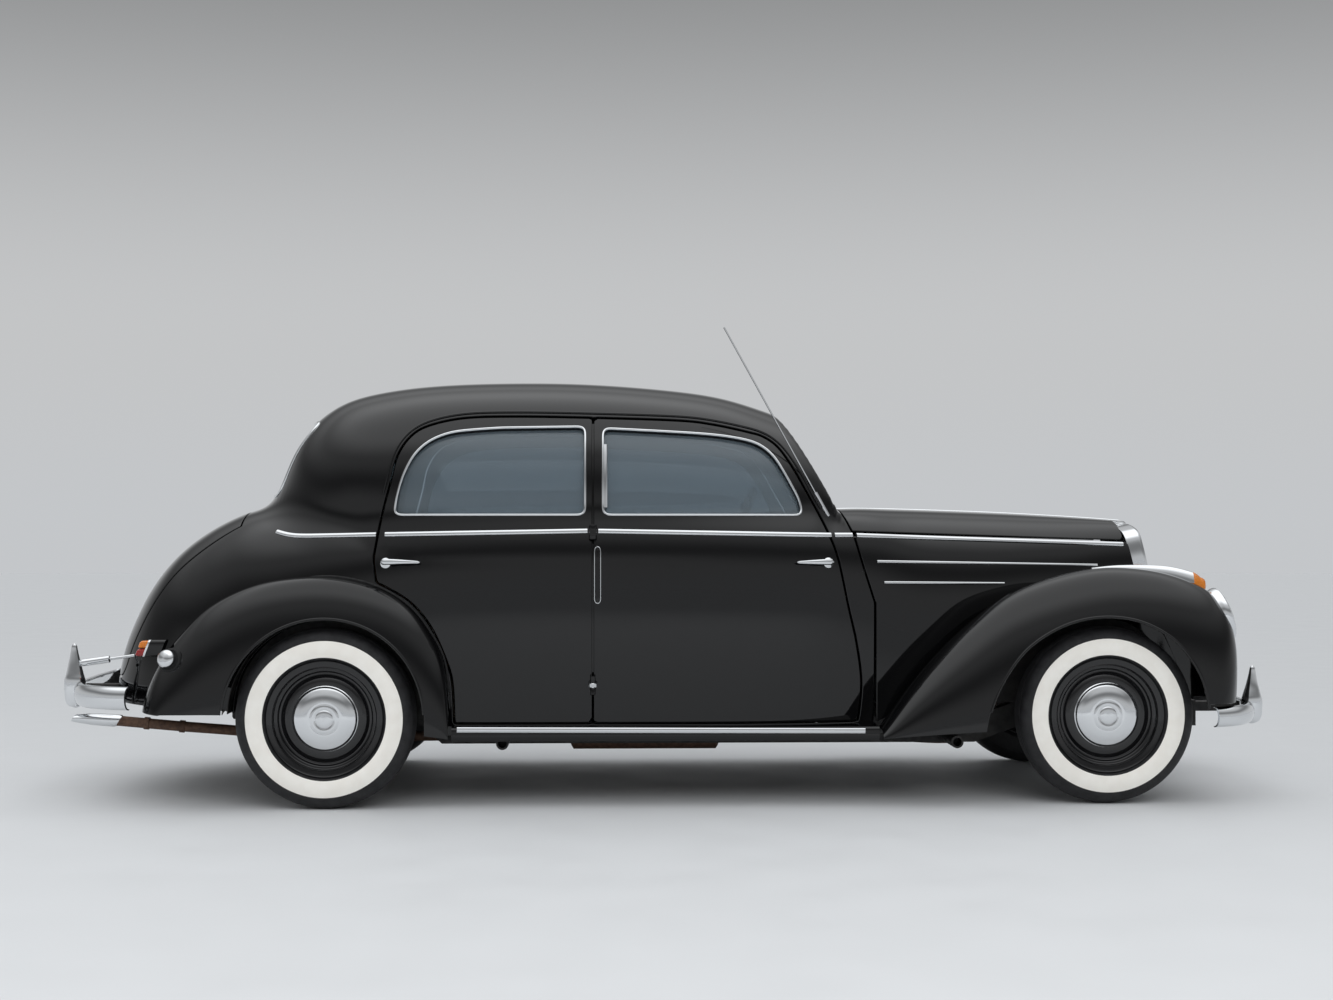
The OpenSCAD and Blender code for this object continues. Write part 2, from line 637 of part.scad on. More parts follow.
module front_apron() color(colour_body) difference() {
    loft(apron_rows, 10);
    loft(apron_rows, 8, skin, 120);
    each_side() {
        front_fender_solid();
        front_wheel_room(-200);
    }
    hood_solid();
    shell_prism(0, -shell_depth - 200, 200);
}

front_bumper_h = sz(24);
front_bumper_t = 74;
rear_bumper_h = sz(102);
// Bumpers: a curved blade on two brackets, with two overriders.
// Columns of the path: distance behind the face, share of the half width
module bumper(face_x, way, half_w, path, z, tall, deep, rider_y, rider_h, bracket_to) {
    half = curve([for (p = path) [p[0], p[1] * half_w]], 2);
    line = concat([for (i = [len(half) - 1 : -1 : 1]) [half[i][0], -half[i][1]]], half);
    function place(i) = let (
        a = line[max(i - 1, 0)], b = line[min(i + 1, len(line) - 1)], t = (b - a) / norm(b - a))
        [for (k = [-90 : 36 : 90]) let (out = deep * cos(k))
            [face_x - way * (line[i][0] + deep - out * t[1]), line[i][1] - out * t[0], z + tall / 2 * sin(k)]];
    for (i = [0 : len(line) - 2])
        hull() polyhedron(concat(place(i), place(i + 1)), [[for (k = [0 : 11]) k]]);
    for (s = [-1, 1]) {
        translate([face_x - way * 14, s * rider_y, z]) hull() {
            translate([-way * 22, 0, -tall / 2 - 8]) sphere(24, $fn = 10);
            translate([-way * 14, 0, 10]) sphere(28, $fn = 10);
            translate([-way * 44, 0, rider_h]) sphere(13, $fn = 10);
        }
        translate([(face_x + bracket_to) / 2 - way * 22, s * rail_gap / 2, z])
            cube([abs(face_x - bracket_to) - 44, rail_w - 14, 40], center = true);
    }
}
module front_bumper() color(colour_chrome)
    bumper(nose_x, 1, front_fender_hw - 22, [[14, 0], [20, 0.31], [38, 0.6], [86, 0.8], [160, 0.935], [255, 1]],
        front_bumper_h, front_bumper_t, 30, 480, 158, rail_front);
module rear_bumper() color(colour_chrome)
    bumper(tail_x, -1, rear_fender_hw - 42, [[14, 0], [20, 0.31], [38, 0.6], [90, 0.81], [180, 0.94], [285, 1]],
        rear_bumper_h, 84, 30, 480, 176, rail_back);

// Lamps
module headlamps() color(colour_chrome) each_side() at_headlamp() {
    translate([0, 0, -60]) cylinder(60, d1 = 120, d2 = lamp_d);
    cylinder(16, d = lamp_d);
    translate([0, 0, 16]) intersection() {
        cylinder(40, d = lamp_d - 24);
        translate([0, 0, -150]) sphere(176);
    }
}

// Columns: base x, base z, crown x, crown z, half width, roundness
indicator_rows = [
    for (r = [[-30, 550, 563, 3, 2], [80, 546, 573, 12, 2], [240, 524, 571, 23, 2], [345, 490, 549, 27, 2],
              [378, 478, 528, 22, 2]])
    [fx(r[0]), sz(r[1]), fx(r[0]), sz(r[2]), front_fender_y + 209, r[3], r[3], r[4]]];
module indicators() color(colour_chrome) each_side() difference() {
    loft(indicator_rows, 6);
    front_fender_solid();
}

module tail_lamp() {
    translate([rx(-595), rear_fender_y + 144, sz(274)])
        hull() for (z = [-24, 24], x = [-60, 60]) translate([x, 0, z]) sphere(20, $fn = 10);
}
module tail_lamps() color("#8c1c14") each_side() difference() {
    tail_lamp();
    tub();
    rear_fender_solid();
}

module antenna() color(colour_chrome) difference() {
    translate([cowl_x - 106, -glass_hw + 90, waist_h + 20]) rotate([0, -29, 0]) {
        cylinder(100, d = 16, $fn = 10);
        cylinder(800, d = 6, $fn = 6);
    }
    cabin();
}

// Passage for the propeller shaft below the cabin
module tunnel(grow) translate([rx(200), -62 - grow, 0]) cube([fx(-800) - rx(200), 124 + 2 * grow, axle_h + 52 + grow]);

// Wheels and tyres, as profiles turned about the axle
module on_axle(x, track) translate([x, -track / 2, axle_h]) rotate([90, 0, 0]) children();
rim_r = rim_d / 2;
tyre_r = tyre_d / 2;
half_tyre = tyre_w / 2;
rim_hw = 70;
// Columns: height above the wheel's centre plane, radius
tyre_deep = tyre_r - rim_r;
function tyre_half() = [[rim_hw - 10, rim_r - 10], [rim_hw - 10, rim_r + 2], [rim_hw + 4, rim_r + 8],
    [half_tyre - 3, rim_r + 0.29 * tyre_deep], [half_tyre, rim_r + 0.5 * tyre_deep],
    [half_tyre - 6, rim_r + 0.74 * tyre_deep], [half_tyre - 19, rim_r + 0.91 * tyre_deep],
    [half_tyre - 34, rim_r + 0.98 * tyre_deep], [0, tyre_r]];
function mirrored(half) = concat(half, [for (i = [len(half) - 2 : -1 : 0]) [-half[i][0], half[i][1]]]);
module turned(points) rotate_extrude() polygon([for (p = points) [p[1], p[0]]]);
module tyre() color(colour_black) turned(mirrored(tyre_half()));
hub_r = 46;
drum_r = rim_r - 70;
cap_r = cap_d / 2;
// Columns: height above the wheel's centre plane (outwards), radius
wheel_profile = [[-40, spindle_d / 2 + spindle_fit], [-40, hub_r], [22, hub_r], [22, drum_r - 8],
    [-52, drum_r - 8], [-52, drum_r], [26, drum_r + 6], [10, rim_r - 46], [-6, rim_r - 34], [-58, rim_r - 22],
    [-rim_hw + 4, rim_r - 20], [-rim_hw + 4, rim_r], [-rim_hw + 9.7, rim_r], [-rim_hw + 9.7, rim_r - 12.3],
    [rim_hw - 9.7, rim_r - 12.3], [rim_hw - 9.7, rim_r], [rim_hw - 4, rim_r], [rim_hw - 4, rim_r - 20],
    [44, rim_r - 30], [30, rim_r - 44], [42, (rim_r - 44 + cap_r) / 2], [46, cap_r + 4], [46, cap_r],
    [58, cap_r - 6], [66, cap_r - 40], [72, cap_r - 74], [73, 0], [60, 0], [60, spindle_d / 2 + spindle_fit]];
module wheel() color(colour_black) turned(wheel_profile);

// Front wheel carriers
kingpin_in = 90;
kingpin_y = -front_track / 2 + kingpin_in;
module knuckle() color(colour_black) {
    translate([front_x, kingpin_y, axle_h - 92]) cylinder(184, d = 56);
    translate([front_x, kingpin_y, axle_h - 128]) cylinder(256, d = kingpin_d);
    on_axle(front_x, front_track) {
        translate([0, 0, -kingpin_in]) cylinder(kingpin_in + 52, d = spindle_d);
        translate([0, 0, -kingpin_in]) cylinder(18, d = 64);
        translate([0, 0, -64]) cylinder(6, d = 176);
    }
}

// Front cross member with a tower and two wishbones on each side
rail_out = rail_gap / 2 + rail_w / 2;
arm_z = [axle_h - 128, axle_h + 98];
module front_suspension() color(colour_black) {
    translate([front_x - 70, -rail_gap / 2 + rail_w / 2, axle_h - 60]) cube([140, rail_gap - rail_w, 50]);
    each_side() {
        translate([front_x - 95, -rail_out - 30, arm_z[0]]) cube([190, 30, arm_z[1] + 30 - arm_z[0]]);
        for (z = arm_z) difference() {
            union() {
                translate([front_x, kingpin_y, z]) cylinder(30, d = 60);
                translate([front_x, 0, z]) linear_extrude(22) for (s = [-1, 1]) polygon([
                    [s * 90, -rail_out - 30], [s * 60, -rail_out - 30], [0, kingpin_y + 26], [s * 30, kingpin_y + 2]]);
            }
            translate([front_x, kingpin_y, z - 1]) cylinder(32, d = kingpin_d + 2 * spindle_fit);
        }
    }
}

// Rear axle: housing with the final drive, springs and fixed spindles
module rear_axle() color(colour_black) {
    translate([rear_x, 0, axle_h]) {
        axle_housing();
        each_side() rotate([90, 0, 0]) {
            cylinder(rear_track / 2 - 66, d = 76);
            translate([0, 0, rear_track / 2 - 66]) cylinder(6, d = 2 * drum_r - 22);
            cylinder(rear_track / 2 + 52, d = spindle_d);
        }
    }
}
module axle_housing() {
    sphere(105);
    rotate([0, 90, 0]) cylinder(230, d1 = 130, d2 = 90);
}

// Frame: two side rails with cross members, kicked up over the rear axle
rail_front = fx(440);
rail_back = rx(-700);
rail_low = sill_h - 110;
rail_top = sill_h - 12;
kick = 215;
rail_line = [[rail_back, 180], [rx(-420), 180], [rx(-200), kick], [rx(150), kick], [rx(385), 0],
    [fx(-420), 0], [fx(-250), 60], [rail_front, 60]];
module rail() translate([0, -rail_gap / 2 + rail_w / 2, 0]) rotate([90, 0, 0]) linear_extrude(rail_w)
    polygon(concat([for (p = rail_line) [p[0], rail_low + p[1]]],
        [for (i = [len(rail_line) - 1 : -1 : 0]) [rail_line[i][0], rail_low + rail_line[i][1] + rail_top - rail_low]]));
jack_x = [rx(629), fx(-538)];
jack_h = rail_low + 30;
jack_out = body_hw - 98;
module frame() color(colour_black) {
    each_side() rail();
    for (x = [rx(560), post_x + 600, fx(-700)]) translate([x - 40, -rail_gap / 2, rail_top - 46])
        cube([80, rail_gap, 46]);
    translate([rx(-600), -rail_gap / 2, rail_low + 230]) rotate([-90, 0, 0]) cylinder(rail_gap, d = 50);
    translate([rx(-160), -rail_gap / 2, rail_low + kick + 50]) rotate([-90, 0, 0]) cylinder(rail_gap, d = 50);
}

// Jack sockets: stubs on the rails, bored from their outer ends
module jack_sockets() color(colour_black) each_side() for (x = jack_x)
    translate([x, -rail_out, jack_h]) rotate([90, 0, 0]) difference() {
        cylinder(jack_out - rail_out, d = jack_d + 14);
        translate([0, 0, jack_out - rail_out - jack_l]) cylinder(jack_l + 1, d = jack_d);
    }

// Floor with a raised rear part and the wall behind the rear seat
floor_t = 12;
floor_line = [[cowl_x, 0], [rx(390), 0], [rx(330), kick], [rx(-800), kick]];
floor_top = rail_top + floor_t;
module floor_pan() color(colour_black) intersection() {
    tub(wall + seam, 60);
    union() {
        translate([0, body_w / 2, 0]) rotate([90, 0, 0]) linear_extrude(body_w) polygon(concat(
            [for (p = floor_line) [p[0], rail_top + p[1]]],
            [for (i = [3 : -1 : 0]) [floor_line[i][0], rail_top + floor_line[i][1] + floor_t]]));
        translate([rx(40), -body_w / 2, rail_top + kick]) cube([floor_t, body_w, waist_h - rail_top - kick - 60]);
        intersection() {
            tunnel(floor_t);
            translate([rx(340), -body_w, rail_top]) cube([cowl_x - rx(340), 2 * body_w, roof_h]);
        }
    }
    difference() {
        translate([rx(-830), -body_w, 0]) cube([cowl_x - rx(-830), 2 * body_w, roof_h]);
        each_side() rear_wheel_room(arch_r + skin + 1);
        tunnel(0);
    }
}

module engine() color("#3a3c3e") {
    translate([fx(-560), -150, axle_h + 40]) cube([600, 300, 280]);
    translate([fx(-540), -90, axle_h + 300]) cube([560, 180, 200]);
    translate([fx(-550), 0, axle_h + 80]) rotate([0, -90, 0]) cylinder(270, d1 = 230, d2 = 170);
    translate([fx(-550), -rail_out, rail_top]) cube([120, 2 * rail_out, 40]);
    translate([fx(-530), -120, rail_top]) cube([80, 240, 120]);
    translate([rx(230), 0, axle_h]) rotate([0, 90, 0]) cylinder(fx(-800) - rx(230), d = 60);
}

// Columns: x, y, z of each bend
pipe_y = -210;
pipe_h = sill_h - 94;
exhaust_line = [[fx(-300), -164, axle_h + 145], [fx(-300), pipe_y, axle_h + 135], [fx(-400), pipe_y, pipe_h],
    [rx(270), pipe_y, pipe_h], [rx(20), -470, pipe_h + 10], [rx(-340), -520, pipe_h + 52], [rx(-960), -520, sz(12)]];
// A round pipe along a list of bends, one convex stretch at a time
module pipe(line, d, count = 8) {
    last = len(line) - 1;
    rings = [for (i = [0 : last])
        let (t = line[min(i + 1, last)] - line[max(i - 1, 0)], side = cross(t, [0, 0, 1]),
             u = side / norm(side), v = cross(u, t) / norm(t))
        [for (k = [0 : count - 1]) line[i] + d / 2 * (u * cos(360 * k / count) + v * sin(360 * k / count))]];
    for (i = [0 : last - 1])
        hull() polyhedron(concat(rings[i], rings[i + 1]), [[for (k = [0 : 2 * count - 1]) k]]);
}
module exhaust() color("#5b3b2c") {
    pipe(curve(exhaust_line, 2), exhaust_d);
    translate([fx(-300), -150.3, axle_h + 145]) rotate([90, 0, 0]) cylinder(24, d = exhaust_d + 28, $fn = 16);
    translate([px(480), pipe_y, pipe_h]) rotate([0, -90, 0]) cylinder(560, d = 104, $fn = 16);
}

// Seats and controls
module bench(half_w) difference() {
    translate([0, half_w, 0]) rotate([90, 0, 0]) linear_extrude(2 * half_w) children();
    tunnel(floor_t + 2);
}
module front_seat() color("#6e5a48") bench(body_hw - 138) translate([post_x + 10, floor_top]) {
    polygon([[0, 0], [430, 0], [500, 200], [505, 290], [470, 320], [60, 270]]);
    polygon([[10, 90], [100, 180], [10, 620], [-20, 660], [-80, 660], [-120, 620], [-60, 200]]);
}
module rear_seat() color("#6e5a48") bench(body_hw - 198) polygon(concat(
    [for (p = [[390, 0], [600, 0], [650, 200], [650, 290], [615, 320]]) [rx(p[0]), floor_top + p[1]]],
    [for (p = [[190, 75], [130, 420], [105, 460], [60, 460], [54, 420], [54, 0], [330, 0]])
        [rx(p[0]), floor_top + kick + p[1]]]));

dash_hw = body_hw - 288;
module dashboard() color("#5a4030") difference() {
    translate([0, dash_hw, 0]) rotate([90, 0, 0]) linear_extrude(2 * dash_hw) polygon([
        [cowl_x, waist_h - 190], [cowl_x - 100, waist_h - 190], [cowl_x - 150, waist_h - 70],
        [cowl_x - 120, waist_h - 40], [cowl_x, waist_h - 40]]);
    at_steering() translate([0, 0, -column_l]) cylinder(column_l, d = column_d + 0.6);
}

column_l = 340;
column_d = 44;
module at_steering() translate([cowl_x - 390, body_hw - 388, waist_h - 40]) rotate([0, -66, 0]) children();
steer_d = 420;
module steering_wheel() color(colour_black) at_steering() {
    rotate_extrude() translate([steer_d / 2 - 14, 0]) circle(13);
    for (a = [0, 180]) rotate([0, 0, a]) translate([0, -12, -7]) cube([steer_d / 2 - 14, 24, 14]);
    translate([0, 0, -20]) cylinder(40, d = 90);
    translate([0, 0, -column_l + 0.4]) cylinder(column_l - 10, d = column_d);
}

frame();
jack_sockets();
floor_pan();
body_shell();
door_posts();
running_boards();
front_apron();
radiator_shell();
grille();
hood_sides();
hood_hinge();
windscreen();
rear_window();
front_bumper();
rear_bumper();
front_suspension();
rear_axle();
engine();
exhaust();
front_seat();
rear_seat();
dashboard();
steering_wheel();
headlamps();
indicators();
tail_lamps();
antenna();
trunk_lid();
front_fender();  // front_fender_right
mirror([0, 1, 0]) front_fender();  // front_fender_left
rear_fender_right();
mirror([0, 1, 0]) rear_fender();  // rear_fender_left
front_door();  // front_door_right
mirror([0, 1, 0]) front_door();  // front_door_left
rear_door();  // rear_door_right
mirror([0, 1, 0]) rear_door();  // rear_door_left
front_door_glass();  // front_door_glass_right
mirror([0, 1, 0]) front_door_glass();  // front_door_glass_left
rear_door_glass();  // rear_door_glass_right
mirror([0, 1, 0]) rear_door_glass();  // rear_door_glass_left
hood();  // hood_right
mirror([0, 1, 0]) hood(110);  // hood_left
knuckle();  // knuckle_right
mirror([0, 1, 0]) knuckle();  // knuckle_left
on_axle(front_x, front_track) wheel();  // front_wheel_right
mirror([0, 1, 0]) on_axle(front_x, front_track) wheel();  // front_wheel_left
on_axle(rear_x, rear_track) wheel();  // rear_wheel_right
mirror([0, 1, 0]) on_axle(rear_x, rear_track) wheel();  // rear_wheel_left
on_axle(front_x, front_track) tyre();  // front_tyre_right
mirror([0, 1, 0]) on_axle(front_x, front_track) tyre();  // front_tyre_left
on_axle(rear_x, rear_track) tyre();  // rear_tyre_right
mirror([0, 1, 0]) on_axle(rear_x, rear_track) tyre();  // rear_tyre_left
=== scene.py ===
"""Four-door saloon of the 1950s: panels, bright trim, glass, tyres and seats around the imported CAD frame."""

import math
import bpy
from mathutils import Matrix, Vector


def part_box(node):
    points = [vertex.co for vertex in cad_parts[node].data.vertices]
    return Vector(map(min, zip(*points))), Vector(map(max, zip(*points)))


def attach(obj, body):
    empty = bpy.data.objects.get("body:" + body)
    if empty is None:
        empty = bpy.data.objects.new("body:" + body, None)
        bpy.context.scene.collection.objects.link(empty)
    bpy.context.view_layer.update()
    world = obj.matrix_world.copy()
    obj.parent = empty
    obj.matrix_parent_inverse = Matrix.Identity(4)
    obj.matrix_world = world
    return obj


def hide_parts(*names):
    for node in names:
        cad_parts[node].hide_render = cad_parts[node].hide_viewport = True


bl_info = {
    "name": "Fifties saloon",
    "version": (1, 0, 0),
    "blender": (4, 5, 0),
    "location": "View3D > Sidebar > Saloon",
    "description": "Builds the visible panels, trim, wheels and seats of a four-door saloon on its CAD frame",
    "category": "Object",
}

import bpy
import numpy as np
from bpy.props import FloatProperty, FloatVectorProperty, IntProperty, PointerProperty
from bpy.types import Operator, Panel, PropertyGroup

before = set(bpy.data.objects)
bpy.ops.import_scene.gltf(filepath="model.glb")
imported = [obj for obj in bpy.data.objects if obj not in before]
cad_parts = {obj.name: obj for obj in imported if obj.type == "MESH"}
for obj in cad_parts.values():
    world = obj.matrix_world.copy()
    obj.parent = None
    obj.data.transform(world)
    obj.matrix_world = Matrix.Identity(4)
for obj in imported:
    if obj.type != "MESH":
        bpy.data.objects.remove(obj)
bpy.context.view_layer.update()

# Lengths in this file are millimetres; the mesh is written in metres.
MM = 0.001


def middle(node):
    """Middle of a CAD node's box, in millimetres."""
    low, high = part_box(node)
    return (np.array(low) + np.array(high)) / 2 / MM


def linear(code):
    """An sRGB hex colour as the linear colour that a shader takes."""
    c = np.array([int(code[i:i + 2], 16) for i in (1, 3, 5)]) / 255
    return tuple(np.where(c <= 0.04045, c / 12.92, ((c + 0.055) / 1.055) ** 2.4)) + (1.0,)


# Places along the car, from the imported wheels
FRONT_X, FRONT_Y, AXLE_H = middle("front_tyre_right")
REAR_X, REAR_Y = middle("rear_tyre_right")[:2]
POST_X = REAR_X + 961
COWL_X = FRONT_X - 905
NOSE_X = FRONT_X + 655
TAIL_X = REAR_X - 1005
# Heights and half widths of the body
ROOF = 1580
WAIST = 1035
SILL = 300
HOOD_H = WAIST + 55
ROCKER = SILL - 44
BODY = 738
GLASS = 680
FRONT_FENDER = 818
REAR_FENDER = 842
# How far the sills draw in, the panes lie below the skin and the screen lies inside its pillars
TUCK = 26
PANE_DEPTH = 16
PILLAR = 46
# Radius of the room for a rear wheel
REAR_ROOM = 360
# Thickness and edge radius of panes and of inner sheets, thickness of fenders, their reach into the body
PANE = (5, 0.8)
INNER_SHEET = (3, 1.0)
SHEET = 5
SINK = 8
# Directions
AHEAD = np.array([1.0, 0, 0])
ACROSS = np.array([0.0, 1, 0])
RIGHT = np.array([0.0, -1, 0])
UP = np.array([0.0, 0, 1])
# Hinge barrels on the right post, the back window's middle and half sizes, the right headlamp
HINGE_LOW = np.array([POST_X, -BODY - 14, SILL + 141])
HINGE_HIGH = np.array([POST_X, -BODY + 14, WAIST - 39])
BACK_Z = ROOF - 306
BACK_HALF = np.array([340, 140])
LAMP_AT = np.array([FRONT_X + 452, 208 - FRONT_FENDER, SILL + 388])
LAMP_AXIS = np.array([math.cos(math.radians(20)), 0, math.sin(math.radians(20))])


class SaloonSizes(PropertyGroup):
    """Sizes of the dress, in metres."""

    gap: FloatProperty(name="Panel gap", description="Gap between two panels", default=0.007, unit="LENGTH")
    waist_fillet: FloatProperty(
        name="Waist fillet", description="Blend between body side and glasshouse",
        default=0.034, unit="LENGTH")
    strip_width: FloatProperty(
        name="Strip width", description="Width of the bright strip along the waist",
        default=0.019, unit="LENGTH")
    bead_width: FloatProperty(
        name="Bead width", description="Width of the bright bead round a window",
        default=0.009, unit="LENGTH")
    slat_pitch: FloatProperty(
        name="Slat pitch", description="Distance between two radiator slats",
        default=0.0135, unit="LENGTH")
    whitewall: FloatProperty(
        name="Whitewall", description="Outer radius of the white sidewall band",
        default=0.281, unit="LENGTH")
    tread_blocks: IntProperty(
        name="Tread blocks", description="Cuts across the tread round one tyre", default=84, min=24)
    pleats: IntProperty(name="Pleats", description="Sewn channels across a bench seat", default=16, min=4)


class SaloonColours(PropertyGroup):
    """Colours of the finishes that a user would change."""

    paint: FloatVectorProperty(
        name="Paint", description="Body enamel", size=4, subtype="COLOR", default=linear("#060607"))
    white_rubber: FloatVectorProperty(
        name="Whitewall", description="White sidewall rubber", size=4, subtype="COLOR",
        default=linear("#ebe8e0"))
    glass: FloatVectorProperty(
        name="Glass", description="Tint of the windows", size=4, subtype="COLOR", default=linear("#8796a0"))
    amber: FloatVectorProperty(
        name="Amber", description="Turn lamp lenses", size=4, subtype="COLOR", default=linear("#f08a12"))
    ruby: FloatVectorProperty(
        name="Ruby", description="Tail lamp lenses", size=4, subtype="COLOR", default=linear("#a3150f"))
    leather: FloatVectorProperty(
        name="Leather", description="Seat leather", size=4, subtype="COLOR", default=linear("#6f5138"))


# Finishes


def add_node(tree, kind, settings=None, links=None):
    """Adds a node. A setting is an attribute or an input's value, and a link feeds an input from a socket."""
    made = tree.nodes.new(kind)
    for key, value in (settings or {}).items():
        if isinstance(key, str) and hasattr(made, key):
            setattr(made, key, value)
        else:
            made.inputs[key].default_value = value
    for key, socket in (links or {}).items():
        tree.links.new(socket, made.inputs[key])
    return made


class Finish:
    """A material on the standard shader. Its patterns lie in the object's own coordinates."""

    def __init__(self, name, colour, roughness, **settings):
        self.material = bpy.data.materials.new(name)
        self.material.use_nodes = True
        self.tree = self.material.node_tree
        self.shader = self.tree.nodes["Principled BSDF"]
        values = {"Base Color": linear(colour) if isinstance(colour, str) else colour, "Roughness": roughness}
        values.update({key.replace("_", " "): value for key, value in settings.items()})
        for key, value in values.items():
            self.shader.inputs[key].default_value = value
        self.place = {"Vector": add_node(self.tree, "ShaderNodeTexCoord").outputs["Object"]}

    def feed(self, made, name):
        """Links a node's first output to an input of the shader."""
        self.tree.links.new(made.outputs[0], self.shader.inputs[name])

    def patches(self, size, detail):
        """Noise whose patches are about size millimetres across."""
        settings = {"Scale": 1 / (size * MM), "Detail": detail}
        return add_node(self.tree, "ShaderNodeTexNoise", settings, self.place).outputs[0]

    def stripes(self, way, scale, distortion=0.0, detail=2.0):
        """A wave along one axis that repeats every 314 / scale millimetres."""
        settings = {"bands_direction": way, "Scale": scale, "Distortion": distortion, "Detail": detail}
        return add_node(self.tree, "ShaderNodeTexWave", settings, self.place).outputs[0]

    def vary(self, size, low, high):
        """Varies the roughness between low and high in patches of about size millimetres."""
        noise = self.patches(size, 3.0)
        settings = {"From Min": 0.3, "From Max": 0.7, "To Min": low, "To Max": high}
        self.feed(add_node(self.tree, "ShaderNodeMapRange", settings, {"Value": noise}), "Roughness")
        return noise

    def raise_by(self, height, distance, strength):
        """Bumps the surface by a height from 0 to 1 that stands for distance millimetres."""
        settings = {"Strength": strength, "Distance": distance * MM}
        self.feed(add_node(self.tree, "ShaderNodeBump", settings, {"Height": height}), "Normal")

    def shade(self, value, dark, light, low=0.35, high=0.68):
        """Takes the base colour from a ramp: dark up to a value of low, light from high on."""
        ramp = add_node(self.tree, "ShaderNodeValToRGB", links={"Fac": value})
        for stop, at, code in zip(ramp.color_ramp.elements, (low, high), (dark, light)):
            stop.position = at
            stop.color = linear(code)
        self.feed(ramp, "Base Color")

    def tint(self, size, dark, light, detail=4.0):
        """Varies the base colour between two colours in patches of about size millimetres."""
        noise = self.patches(size, detail)
        self.shade(noise, dark, light)
        return noise


def gloss_black_enamel():
    """Polished enamel: deep black, with mirror reflections that waver a little over hand-beaten steel."""
    made = Finish("gloss_black_enamel", colours().paint, 0.05, IOR=1.48)
    made.vary(70, 0.025, 0.065)
    made.raise_by(made.patches(420, 1.0), 0.6, 0.35)
    return made


def chromed_steel():
    """Polished chrome plate: a bright, slightly cool mirror with faint polishing haze."""
    made = Finish("chromed_steel", "#dfe1e3", 0.06, Metallic=1.0)
    made.vary(24, 0.04, 0.11)
    return made


def window_glass():
    """Safety glass of the period: clear with a blue-grey cast, and a hard reflection."""
    made = Finish("safety_glass", colours().glass, 0.02, Transmission_Weight=0.72, IOR=1.5)
    made.vary(160, 0.0, 0.03)
    return made


def fluted_lens_glass():
    """Pressed lamp glass: clear, with upright flutes 5 mm wide that break up the reflector behind."""
    made = Finish("fluted_lens_glass", "#f2f6f7", 0.03, Transmission_Weight=1.0, IOR=1.48)
    made.raise_by(made.stripes("Y", 62.47), 1.2, 0.6)
    return made


def lamp_lens(name, colour):
    """Moulded coloured lens: saturated colour with depth, and fine ribs about 3 mm apart."""
    made = Finish(
        name, colour, 0.12, Transmission_Weight=0.35, IOR=1.49, Coat_Weight=0.5, Coat_Roughness=0.05)
    made.raise_by(made.stripes("Z", 100.0), 0.5, 0.5)
    return made


def amber_lens():
    return lamp_lens("amber_lens", colours().amber)


def ruby_lens():
    return lamp_lens("ruby_lens", colours().ruby)


def tyre_rubber():
    """Moulded rubber: soft black, dusty grey in patches, with cuts across the ribs along the tyre's map."""
    made = Finish("moulded_tyre_rubber", "#17171a", 0.62)
    made.tint(30, "#131315", "#222224")

    def math_node(operation, links, second=None):
        settings = {"operation": operation}
        if second is not None:
            settings[1] = second
        return add_node(made.tree, "ShaderNodeMath", settings, links).outputs[0]

    turned = add_node(made.tree, "ShaderNodeUVMap")
    part = add_node(made.tree, "ShaderNodeSeparateXYZ", links={"Vector": turned.outputs[0]})
    wave = math_node("MULTIPLY", {0: part.outputs["X"]}, sizes().tread_blocks * 2 * math.pi)
    skew = math_node("MULTIPLY_ADD", {0: part.outputs["Y"], 2: wave}, 60.0)
    made.raise_by(math_node("GREATER_THAN", {0: math_node("SINE", {0: skew})}, -0.75), 1.5, 0.5)
    return made


def white_rubber():
    """White sidewall rubber: warm white, matt, a little soiled."""
    made = Finish("white_sidewall_rubber", colours().white_rubber, 0.5)
    made.tint(45, "#eae7e0", "#efede7")
    made.vary(12, 0.42, 0.6)
    return made


def wheel_enamel():
    """Stoved enamel on pressed steel wheels: black, glossy, with orange peel drawn 6 mm wide to show."""
    made = Finish("stoved_wheel_enamel", "#0b0b0d", 0.14, Coat_Weight=0.3)
    made.raise_by(made.vary(6, 0.1, 0.2), 0.1, 0.15)
    return made


def chassis_paint():
    """Brushed chassis black: satin, with road dust in patches."""
    made = Finish("chassis_black", "#1a1a1b", 0.5)
    made.tint(90, "#141415", "#2b2927")
    made.vary(20, 0.4, 0.75)
    return made


def rusted_steel():
    """Exhaust steel: brown scale over grey metal, rough."""
    made = Finish("rusted_exhaust_steel", "#6b4a36", 0.7, Metallic=0.35)
    made.raise_by(made.tint(14, "#4f3b30", "#6c5343", 6.0), 0.25, 0.3)
    return made


def cast_iron():
    """Sand-cast iron: dark grey, grainy at 3 mm."""
    made = Finish("cast_iron", "#3d3f41", 0.6, Metallic=0.6)
    made.raise_by(made.tint(3, "#303233", "#4a4c4e"), 0.4, 0.4)
    return made


def seat_leather():
    """Grained hide: cracked cells about 4 mm wide, drawn that coarse so that they show."""
    made = Finish("grained_leather", colours().leather, 0.45, Coat_Weight=0.1)
    made.tint(50, "#65472f", "#71523a")
    cells = add_node(made.tree, "ShaderNodeTexVoronoi", {"Scale": 1 / (4 * MM)}, made.place)
    made.raise_by(cells.outputs[0], 0.4, 0.35)
    return made


def wool_lining():
    """Woven wool headlining: warm grey, soft sheen, threads drawn 3 mm apart so that they show."""
    made = Finish("wool_headlining", "#8b8377", 0.95, Sheen_Weight=0.3)
    made.raise_by(made.tint(3, "#7c7468", "#978f82"), 0.3, 0.4)
    return made


